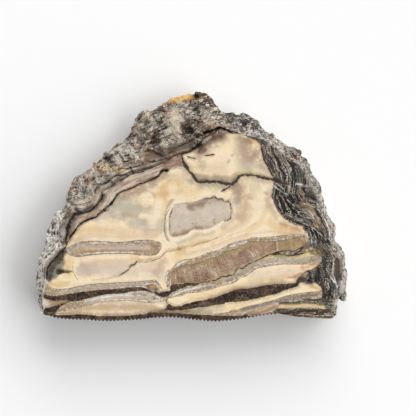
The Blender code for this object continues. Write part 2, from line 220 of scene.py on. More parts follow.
loopTop = (
    (-7.3, -22.3), (-6.4, -21.5), (-5.5, -20.9), (-4.5, -20.4), (-3, -19.9), (0, -19.7), (2, -19.4),
    (4, -18.5), (5, -17.9), (8, -17.3), (9, -16.7), (10, -16.2), (11, -15.3), (12, -15.1), (14, -14.7),
    (15, -14.2), (17, -13.2), (18, -12.5), (19, -12.1), (24, -12.2), (28, -12), (30, -11.8),
    (32, -11.3), (34, -11), (35.2, -11.1), (36.2, -11.7), (37, -12.4), (37.5, -13),
)
serratedSeam = (
    (2.3, -25.9), (4, -25.8), (5, -25.7), (6, -25.1), (7.3, -25.3), (8, -24.8), (9, -24.3), (10, -23.8),
    (11, -24), (12, -23.5), (13.4, -23.4), (14, -22.5), (14.5, -21.6), (15.2, -21), (16.5, -21.2),
    (17.2, -20.7), (18, -20), (18.7, -19.6), (20, -19.2), (21, -18.6), (22, -18.2), (23, -17.7),
    (24.5, -17), (25.5, -16.5), (27, -16.1), (28, -15.7), (29, -15.5), (31.5, -15.3), (33, -15.5),
    (34.4, -15.1), (35.4, -14.5), (36.4, -14), (37.2, -13.6),
)
lowDarkTop = (
    (-14, -35.35), (-11, -35), (-9.3, -34.6), (-8.6, -33.5), (-8, -33), (-7, -33.5), (-6, -33.8),
    (-4, -33.7), (-3, -33.2), (-2, -32.9), (0, -32.4), (2, -31.9), (4, -31.6), (6, -31.1),
    (8, -30.6), (10, -29.8), (12, -29), (14, -28.3), (16, -27.9), (20, -27.6), (24, -26.8),
    (28, -26.3), (33.6, -26.1), (34.6, -25), (35, -24.2), (36, -23.8), (38, -23.4),
)
lowDarkFoot = (
    (-13, -35.6), (-8, -35.2), (-4, -35.1), (0, -34.5), (4, -33.9), (8, -33.3), (10, -33),
    (11.5, -32.4), (16, -32.2), (18, -31.9), (20, -31.4), (24, -30.5), (28, -29.5), (30, -28.6),
    (32, -28), (34, -27.4), (35, -26.9), (35.5, -26), (36.5, -25.7), (38, -26.2),
)
footEnamelTop = (
    (7, -36.7), (9, -36.3), (10.5, -36.1), (12, -35.8), (13, -35.2), (16, -34.9), (17, -34.3),
    (18, -33.9), (20, -33.6), (22, -33.2), (24, -32.6), (26, -32.2), (28, -31.5), (30, -30.8),
    (32, -30.2), (34, -29.8), (38, -29.2), (42, -28.8), (42.7, -28.5),
)
footEnamelFoot = (
    (8, -36.9), (12, -36.9), (16, -36.7), (17.5, -36.1), (20, -35.5), (22, -35), (23.5, -34.5),
    (25, -33.7), (26, -33.3), (27.5, -33), (28.5, -32.3), (31, -32.2), (34, -32.1), (36, -31.4),
    (38, -30.9), (40, -31.2), (42, -30.6), (42.9, -30),
)

# Enamel: closed outlines, each with the height of the scallops on its edge
enamelBands = (
    (0.0, ((-49.4, -25.5), (-48.6, -26.5), (-47.8, -27.3), (-46.8, -27.9)) + leftEnamelTop + (
        (-11.6, -26), (-11, -27), (-10.5, -28)) + darkSeamTop[::-1]),
    (0.22, (
        (-46.4, -36.3), (-45.5, -35.5), (-45, -34.8), (-44, -33.9), (-43, -33.2), (-42, -32.8),
    ) + darkSeamFoot + (
        (-8.6, -31.3), (-9, -31.8), (-10, -32), (-12, -32.2), (-14, -32.5), (-18, -32.1), (-22, -31.7),
        (-24, -31.9), (-30, -32.1), (-32, -32.4), (-34, -33.1), (-36, -33.7), (-38, -34.2),
        (-40, -34.8), (-42, -35.1), (-44, -35.9),
    )),
    (0.2, ((-8.2, -31),) + darkSeamTail + serratedSeam[:21] + (
        (24, -18.1), (26, -17.8), (30, -17.7), (34, -18), (36, -17.9), (38, -17.4), (41, -17.2),
        (42.9, -17.3), (42.5, -18.7), (41, -19.2), (40, -19.7), (38, -19.6), (30, -19.7), (28, -19.8),
        (24, -20.5), (22, -20.9), (21, -21.1), (20, -21.9), (19, -22.4), (18, -23.3), (17, -23.8),
        (15.7, -24.1), (15, -24.9), (14, -25.6), (12, -26.3), (10, -26.6), (8, -27.3), (6, -28),
        (4, -28.5), (2, -29), (0.5, -29.1), (-2.3, -29.3), (-3, -29.9), (-4, -30.2), (-5.5, -30.4),
        (-7, -30.8),
    )),
    (0.0, (
        (-7.6, -22), (-6.4, -20.6), (-5, -19.3), (-3, -18.4), (-1, -18.1), (2, -17.3), (4, -16.4),
        (6, -15.6), (8, -15.3), (10, -14.3), (12, -13.2), (14, -12.5), (16, -12), (18, -11.6),
        (20, -11), (24, -10.9), (28, -10.4), (32, -10), (36.5, -10), (37.6, -10.8), (38.3, -12),
    ) + loopTop[::-1]),
    (0.16, footEnamelTop + footEnamelFoot[::-1]),
    (0.0, (
        (-8.3, -21.8), (-8.8, -23), (-9.2, -24.3), (-9, -25.4), (-8.6, -26.5), (-8.6, -27.2),
        (-8.2, -27.2), (-8, -26.5), (-7.8, -25.5), (-7.6, -24), (-7.4, -22.3),
    )),
)
thinLoop = (
    (-42, -14.9), (-40.4, -13.5), (-37.5, -12.4), (-34, -12.1), (-30, -12.2), (-26, -12.5),
    (-22, -12.3), (-17, -11.8), (-14, -11.9), (-12.5, -12.2), (-11.3, -12.5), (-10.7, -13.3),
    (-10.7, -14), (-11, -15), (-11.8, -16), (-13, -16.6), (-15, -16.7), (-18, -16.6), (-20, -16.3),
    (-22, -16.2), (-29, -16.2), (-33, -16.5), (-36, -16.9), (-38, -17.2), (-40.5, -16.8),
    (-41.8, -15.9),
)
thinLoopCore = (
    (-39.6, -15.4), (-38, -14.6), (-37.2, -14.2), (-37, -13.6), (-34, -13.5), (-30, -13.4),
    (-24, -13.7), (-19, -14.1), (-17, -13.7), (-14.6, -12.9), (-12.4, -13.2), (-11.7, -14),
    (-12.2, -15), (-13.4, -15.6), (-16, -15.6), (-20, -15.3), (-26, -15.2), (-30, -15.2), (-34, -15.4),
    (-37, -15.8), (-39, -16),
)
bigLoopCore = ((-7.2, -26.5), (-7.5, -25.5), (-7.4, -24), (-7.5, -23)) + loopTop + (
    (37.6, -13.3),) + serratedSeam[::-1] + ((0, -25.8), (-2, -25.8), (-4, -26.1), (-6, -26.2))

# Black and brown cementum
darkBands = (
    darkSeamTop + (
        (-9.3, -28.9), (-8.8, -28.6), (-8, -28.9), (-7.6, -28), (-7.5, -26.9), (-6, -26.3), (-4, -26.2),
        (-2, -25.9), (0, -25.9), (2, -26.1), (2.3, -26.3),
    ) + darkSeamTail[::-1] + darkSeamFoot[::-1] + (
        (-42, -31.9), (-43.5, -31.7), (-45, -31.9), (-47, -31.9), (-48.6, -31.4), (-49.8, -30.8),
    ),
    (
        (-49.5, -34.5), (-48, -34.1), (-46, -33.5), (-43, -32.7), (-41.5, -32.3), (-43, -33.2),
        (-44, -33.8), (-45, -34.8), (-45.5, -35.6), (-46.2, -36.4), (-46.8, -37.2), (-49.3, -37),
        (-49.9, -35.6),
    ),
    (
        (-47, -36.9), (-45.5, -36.7), (-42, -36.7), (-38, -36.4), (-34, -36.8), (-30, -37), (-22, -36.9),
        (-18, -36.5), (-16, -36.2), (-14.5, -35.7), (-13, -35.7), (-10, -35.8), (-4, -36.1),
        (0, -36.4), (4, -36.6), (8, -36.9), (12, -37), (16, -36.9), (17.5, -36.4), (18.6, -36.9),
        (19, -40), (-47, -40),
    ),
    lowDarkTop + ((40, -24.6), (39.5, -26.2)) + lowDarkFoot[::-1],
)
ovoidCore = (
    (-7, -1), (-7.3, -2.3), (-7.9, -4.5), (-7.9, -7), (-7.8, -9), (-7.2, -10.2), (-6, -10.7),
    (-4, -10.2), (-2, -9.6), (-0.5, -8.4), (1, -8), (3, -8.2), (5, -8), (6, -7.6), (8, -6.4),
    (9, -5.9), (10, -5.3), (12.1, -4.8), (12.6, -4), (13, -1.8), (12.6, -0.8), (12.3, 0.6),
    (11.6, 1.3), (11, 1.1), (10.2, 1.4), (9.4, 2.1), (8.3, 1.8), (7.7, 2.3), (7, 2.8), (6.2, 2.2),
    (4.2, 2.2), (3.3, 1.8), (2, 1.8), (0, 1.1), (-3, 0.9), (-5, 0.6), (-6.3, 0.3),
)

# The dark zone on the right, full of slivers of shell-like cementum. Its inner border guides them.
sliverGuide = (
    (13, 25), (16.7, 23.4), (19, 22.3), (21, 21.4), (22.3, 20.2), (22.8, 18.5), (23.2, 17),
    (23.5, 15.5), (24, 14.2), (24.8, 13), (25.9, 10.6), (26.9, 9), (26.8, 6.5), (26.4, 4.5), (26.1, 3),
    (26.5, 1.8), (27.2, 0.3), (28.3, -2), (29.3, -3.4), (30.2, -4.4), (31.5, -5.2), (33, -6.1),
    (34.5, -6.7), (36, -7), (37, -7.7), (37.3, -9), (38.3, -10.2), (38.5, -12), (38.3, -13.6),
)
sliverZone = sliverGuide + (
    (38.8, -15.2), (41, -16), (42.9, -17), (42.5, -19), (41, -20.5), (39.5, -21.5), (38, -21.8),
    (36.8, -22.5), (36, -23.6), (36.6, -25.4), (38, -26.1), (39.5, -26.2), (40.5, -25.9),
    (42.5, -27.4), (43, -29), (43, -30.2), (42, -31.2), (40, -31.4), (38, -31.3), (35, -32.3),
    (31, -32.5), (29, -32.8), (28.4, -34), (26.6, -35.4), (24, -36.2), (21, -36.3), (19, -36.6),
    (19, -40), (60, -40), (60, 30),
)

# What the grain follows: the curve beyond the dark zone's border, the line in the middle of the big
# loop, where the thin loop ends, and where the slivers along the foot begin
sliverGuideEnd = ((39, -15), (43, -18), (44.5, -24), (44.6, -30), (44.5, -36))
bigLoopAxis = ((-7, -23.5), (0, -22.5), (8, -20.5), (14, -18), (20, -15.5), (28, -14), (38, -13.5))
thinLoopEnd = -10
lowSliversTop = -31.6

# Thin lines: half width and line. The black lines that follow the open cracks are partly painted shade inside
# them, the others dark veins and seams
darkLines = (
    (0.75, ((-42, -8.6), (-41.8, -7.5), (-41.3, -6), (-40.5, -4.6), (-39.5, -3.5), (-38.5, -2.9),
            (-37, -2.5))),
    (0.34, ((-42.6, -13), (-42.4, -11.6), (-42.2, -10.3), (-41.9, -8.6), (-41.8, -7.5))),
    (0.42, ((-38, -2.8), (-36.5, -2.6), (-35, -2.2), (-33.5, -1.2), (-32.2, 0), (-31.2, 1.2),
            (-30.4, 2.6), (-30, 4.4))),
    (0.22, ((-30, 4.4), (-28.6, 5.4), (-27, 6.3), (-25.5, 7.1), (-24, 8.1), (-22, 9.5), (-21, 10.1),
            (-19.5, 10.6), (-16.8, 11.1), (-15.5, 11.9), (-14, 12.4), (-12.5, 13), (-11, 13.7),
            (-8.8, 14.6), (-7, 15.8), (-5, 16.4))),
    (0.3, ((-41.8, -12.2), (-41.3, -11.5), (-40.8, -10.4), (-39.8, -9.2), (-38.8, -7.8), (-37.8, -6.6),
           (-36.5, -5.6), (-35, -4.9), (-33.5, -4.4), (-32.2, -3.9), (-31.5, -3), (-30, -2.1),
           (-28, -1.7))),
    (0.26, ((-30.2, -1.6), (-29.2, -1.2), (-28.5, -0.7), (-27.6, 0.2), (-26.6, 1.4), (-25.8, 2.8),
            (-24.6, 4), (-23, 4.7), (-21.5, 5.2), (-20, 5.8), (-19.3, 6.3), (-18.2, 7), (-17, 7.3),
            (-16, 7.5), (-15, 8), (-14, 8.4), (-13, 8.9), (-12, 9.4), (-11.2, 10), (-10.9, 10.8))),
    (0.5, ((-27.9, -0.1), (-27.3, 0.6), (-26.9, 1.1))),
    (0.42, ((-11, 10.9), (-10.5, 11.4), (-9.5, 11.6), (-8.5, 11.4))),
    (0.2, ((-41.8, -12.2), (-42.2, -13.5), (-42.6, -14.4), (-43.3, -14.8), (-43.6, -17.5))),
    (0.3, ((-44.2, -15.6), (-46, -18), (-47.6, -19.6), (-48.7, -21.6), (-48.8, -25))),
    (0.62, ((-4, 16.8), (-3.6, 15.5), (-3.2, 14.2), (-2.6, 12.9), (-1.8, 11.9), (-1, 10.8), (-0.3, 10.3),
           (0.3, 9.4), (0.9, 8.6), (1.5, 7.7), (2.4, 7.6), (4, 7.7), (6, 7.8), (8, 7.7), (10, 7.3),
           (12, 7), (12.9, 6.8), (13.6, 7.4), (14.4, 8.2), (15.2, 9.1), (16, 9.7), (17.5, 10),
           (19, 10), (20.5, 9.9), (22, 9.4), (23.5, 9), (25, 8.8), (26.5, 8.6), (28, 8.2),
           (29, 7.5), (30.5, 7), (32, 6.9))),
    (0.3, ((12.6, 6.4), (11.5, 5.6), (10.3, 5), (9.5, 4.5))),
    (0.3, ((-4, 16.9), (-2.5, 17.4), (-1, 17.7), (0, 18.6), (1.2, 19.3))),
    (0.3, ((-1.9, 16.2), (-1, 15.7), (0.3, 15.5), (1, 15.5))),
    (0.22, ((4, 16.4), (5.5, 16.6), (7.2, 16.9))),
    (0.18, ((4.2, 24.1), (5.7, 24.6), (7, 24.9), (8.6, 25.2), (9.7, 25.1), (11, 24.8), (12.4, 24.5))),
    (0.3, ((6, 24.8), (7, 25), (8.6, 25.3), (9.7, 25.2), (10.8, 24.9))),
    (0.26, ((1.8, 19.8), (2.6, 21.2), (3.5, 22.2), (4.8, 23.1), (6, 23.8))),
    (0.28, ((22.4, 19.5), (22.8, 18.5), (23.2, 17), (23.4, 15.5), (24, 14.2), (24.8, 13), (25.3, 11.8),
            (25.9, 10.6), (26.5, 9.7))),
    (0.2, ((2.3, -26.1),) + serratedSeam),
    (0.16, ((26, -16.9), (28, -16.4), (30, -16.6), (32, -16.9), (34, -16.7), (36, -16.3), (38, -15.8))),
    (0.2, ((2.5, 2), (4.2, 2.3), (6, 2.3), (7, 2.9), (7.8, 2.3), (8.4, 1.9), (9.4, 2.1), (10.3, 1.5),
            (11.1, 1.2), (11.7, 1.4), (12.4, 0.6), (12.7, -0.8), (13.1, -1.9), (12.7, -4), (12, -5),
            (10.6, -5.4))),
    (0.1, ((-6.9, -1), (-7.4, -2.6), (-8, -4.6), (-8, -7), (-7.9, -9), (-7.2, -10.4))),
    (0.32, ((34, -16.2), (35.4, -15.5), (36.6, -14.4), (37.4, -13.4), (38.2, -12.6))),
    (0.14, ((-24.5, -23.5), (-23, -22.6), (-21.2, -21.4))),
    (0.2, ((-21.2, -21.4), (-21, -20.6), (-20.4, -20), (-19.5, -19.9), (-19.2, -19.4), (-18.5, -18.7))),
    (0.2, ((-8.6, -31.4), (-8.8, -32.4), (-8.6, -33.2))),
    (0.22, ((28.5, -33.6), (29, -32.8), (31, -32.5), (34, -32.6), (35, -32.3), (36, -31.9), (37, -31.4),
            (38, -31.3), (40, -31.8), (42, -31.4), (44, -31.6))),
    (0.3, ((-12.5, 32), (-10.8, 31.9), (-9, 31.5))),
    (0.3, ((-10.5, 29.7), (-10.9, 28.8), (-10.7, 28))),
    (0.3, ((1.3, 37.3), (1.5, 36.6), (1.5, 36))),
    (0.22, ((13, 30.2), (15, 30.3))),
    (0.2, ((-15.5, 14.9), (-14, 14.3), (-12, 14.6), (-10, 15.2), (-8.6, 16))),
    (0.2, ((-21, 13), (-20.8, 12), (-20.2, 11), (-19.6, 10.5))),
    (0.3, ((-26.4, 9.6), (-24.6, 9.9), (-22, 10.2))),
    (0.24, ((-29.8, 6.8), (-28.5, 7.8), (-26.5, 9.4))),
)
brownLines = (
    (0.16, ((-37, -12.1),) + thinLoop[4:11] + ((-10.8, -13.2),) + thinLoop[12:] + ((-42, -15),)),
    (0.13, ((-37.3, -12.3), (-37.2, -14.4))),
    (0.16, ((-18.5, -18.6), (-17.5, -19), (-16, -19.1), (-14, -18.7), (-12, -18.1), (-10.8, -17.5),
            (-10, -16.7), (-9.2, -15.8), (-8, -15.5), (-6, -15.1), (-4.4, -14.7))),
    (0.16, ((-7.6, -1), (-8.9, -3), (-9.3, -5), (-9.5, -8), (-9.3, -10), (-8.6, -11.5), (-7.4, -12.4))),
    (0.14, ((-0.2, -13.8), (1, -13.3), (2.2, -12.7), (4, -12.5), (7, -11.4), (11, -9.6))),
    (0.14, leftEnamelTop),
    (0.16, loopTop[4:]),
    (0.12, ((-39.9, -18.4), (-40.1, -20.6), (-39.8, -22.4), (-39, -24), (-38, -25.4))),
    (0.14, ((38.5, -11), (38.3, -13), (38.8, -15.2))),
    (0.14, footEnamelTop),
    (0.14, ((16, -24.2), (17, -23.9), (18, -23.4), (19, -22.5), (20, -22), (21, -21.2), (24, -20.6),
            (28, -19.9), (38, -19.7))),
    (0.2, ((-35.5, -4.3), (-34, -1.8), (-31, -1.8), (-28, -1.8))),
)
paleLines = (
    (0.32, ((-7.8, -2), (-7.2, -1), (-6.6, 0), (-6.3, 0.8), (-5, 0.9), (-3, 1.2), (-1, 0.9), (0, 1.2),
            (1.5, 1.7), (3, 2.4), (5, 2.6), (7, 3.3), (7.6, 2.9), (9, 2.5), (10, 2.8))),
    (0.2, ((2.5, 3.2), (4, 3.6), (6, 3.8), (7, 3.9), (8, 3.4), (9.5, 3.6), (10.3, 3.3))),
    (0.22, ((-8, -2.5), (-8.5, -4.5), (-8.5, -7), (-8.4, -9.4), (-8, -11.2))),
    (0.42, ((-8, -11.2), (-6, -11.8), (-4, -11.5), (-3, -10.6), (-1.5, -10), (-0.3, -9), (0.5, -8.6),
            (2, -8.8), (4, -8.9), (5, -8.7), (6, -8.1), (7.4, -7.4), (8.3, -6.9))),
    (0.5, ((7.2, -7.5), (8.3, -7), (9.1, -6.3))),
    (0.3, ((-39.5, -7.8), (-38, -6.4), (-36, -5.2), (-34, -4.3), (-32, -3.5))),
    # Painted highlight on the lip of the second crack
    (0.26, ((-29.2, -1), (-27.9, 0.7), (-27, 1.9), (-25.6, 3.9))),
    (0.26, ((-34, -12.7), (-31, -12.7), (-28.5, -12.8))),
    (0.26, ((-18.5, -13.5), (-17.4, -13), (-16.8, -12.8))),
    (0.26, ((-37, -16.4), (-34, -16.1), (-31, -15.9), (-24, -15.7), (-18, -16))),
    (0.26, ((-17, -27.2), (-16.5, -26.7), (-15, -26.3), (-13.5, -26.2), (-12.3, -26.4), (-11.6, -27.2),
            (-11, -28.2), (-10.3, -28.8))),
    (0.28, ((-36, -32.3), (-32, -31.2), (-28, -30.5), (-24, -30.1), (-20, -30.1), (-16, -29.9),
            (-13.6, -30.2), (-11.6, -30.9), (-10, -31.4))),
    (0.2, ((-34, -32.8), (-30, -31.8), (-24, -31.5), (-18, -31.7), (-14, -32), (-10.4, -31.7))),
    (0.24, ((-7.4, -30.5), (-5.5, -29.6), (-3.5, -28.8), (-2, -28.2), (0, -27.9), (3, -27.2), (6, -26.5))),
    (0.18, ((10, -26.2), (13, -25.5), (15.4, -24.3), (18, -22.9), (21, -20.7), (26, -19.5), (32, -19.2))),
    (0.36, ((-6.4, -21), (-5, -20.1), (-4.2, -19.3), (-3, -18.9), (-2, -18.7))),
    (0.34, ((-8.5, -22.2), (-8.9, -23.6), (-8.8, -25), (-8.4, -26.6))),
    (0.5, ((12.5, -13.9), (14, -13.3), (16, -12.7), (18, -12.2))),
    (0.2, ((18, -14.8), (19.5, -16), (20.3, -17.5), (20.6, -18.5))),
    (0.14, ((27.9, -12.2), (28.1, -14), (28.2, -15.7))),
    (0.12, ((-39.3, -19), (-39.6, -21), (-39.4, -22.4), (-38.6, -24), (-37.8, -25.2))),
    (0.26, ((26.5, 6.8), (28.5, 5.2), (30, 4.2), (31.5, 3.5))),
    (0.2, ((27.8, 7.2), (29.4, 6), (30.4, 5.2))),
    (0.14, ((34.6, -1.8), (35.4, -3), (36.6, -3.9), (38, -4.3), (40, -4.4))),
    (0.13, ((37, -6.2), (38.6, -6.9), (40.4, -7.9), (41.8, -9.2), (43.4, -10.6), (44.4, -12))),
    (0.15, ((33.6, -5), (34.6, -4.9), (36, -5.4))),
    (0.12, ((44.4, -21), (45.4, -23.2), (46.6, -25.2), (48, -27.6))),
    (0.18, ((48, -17.2), (46.9, -18.6), (46.6, -21), (46.8, -23.2), (47.6, -25.6), (48.4, -27.4))),
    (0.12, ((47, -19.6), (46.4, -21.6), (47, -24))),
    (0.12, ((42.6, -3.4), (44.2, -5.4), (45.4, -8), (45.8, -10.6))),
    (0.13, ((14.5, 26), (16, 27), (17.5, 27.7))),
    (0.13, ((21.5, 24.5), (22.5, 23.4), (23.5, 22))),
    (0.3, ((-12.8, 19.5), (-11.6, 19.9))),
    (0.3, ((34.3, 7), (36.6, 6.8))),
    (0.12, ((38.4, -1.8), (39.6, -3), (40.4, -4.4))),
)

# The colours as they are seen under the studio light
palette = {
    "cream": (250, 227, 186), "paleCream": (252, 234, 203), "sand": (231, 203, 158),
    "peach": (228, 202, 172), "gold": (228, 192, 138), "orange": (214, 152, 96),
    "rust": (158, 104, 76), "mauve": (176, 150, 132), "lilac": (190, 176, 168),
    "pink": (222, 203, 186), "greyBeige": (206, 192, 168), "greenGrey": (192, 186, 164),
    "olive": (136, 120, 80), "umber": (118, 94, 74), "darkBrown": (74, 60, 50),
    "black": (40, 35, 32), "white": (244, 240, 232), "stone": (148, 140, 129),
    "paleStone": (190, 183, 170), "tan": (188, 160, 128), "amber": (242, 200, 116),
    "slate": (96, 92, 86), "roseBrown": (150, 122, 104), "darkGrey": (78, 74, 68),
    "tealGrey": (150, 154, 148), "yellowGreen": (190, 172, 88), "blueGrey": (176, 182, 184),
    "stripGrey": (160, 140, 124), "hollow": (100, 94, 86), "crest": (214, 203, 186),
    "loopTan": (172, 146, 118), "oliveGold": (174, 148, 96), "orangeBrown": (166, 116, 78),
    "ovoidGrey": (206, 193, 174), "enamelDark": (146, 132, 116), "enamel": (178, 160, 140),
    "enamelPale": (204, 192, 176), "sandGrey": (188, 170, 146), "gapGreen": (124, 120, 102),
    "soot": (96, 84, 74), "pit": (54, 46, 40), "ash": (192, 190, 186),
}

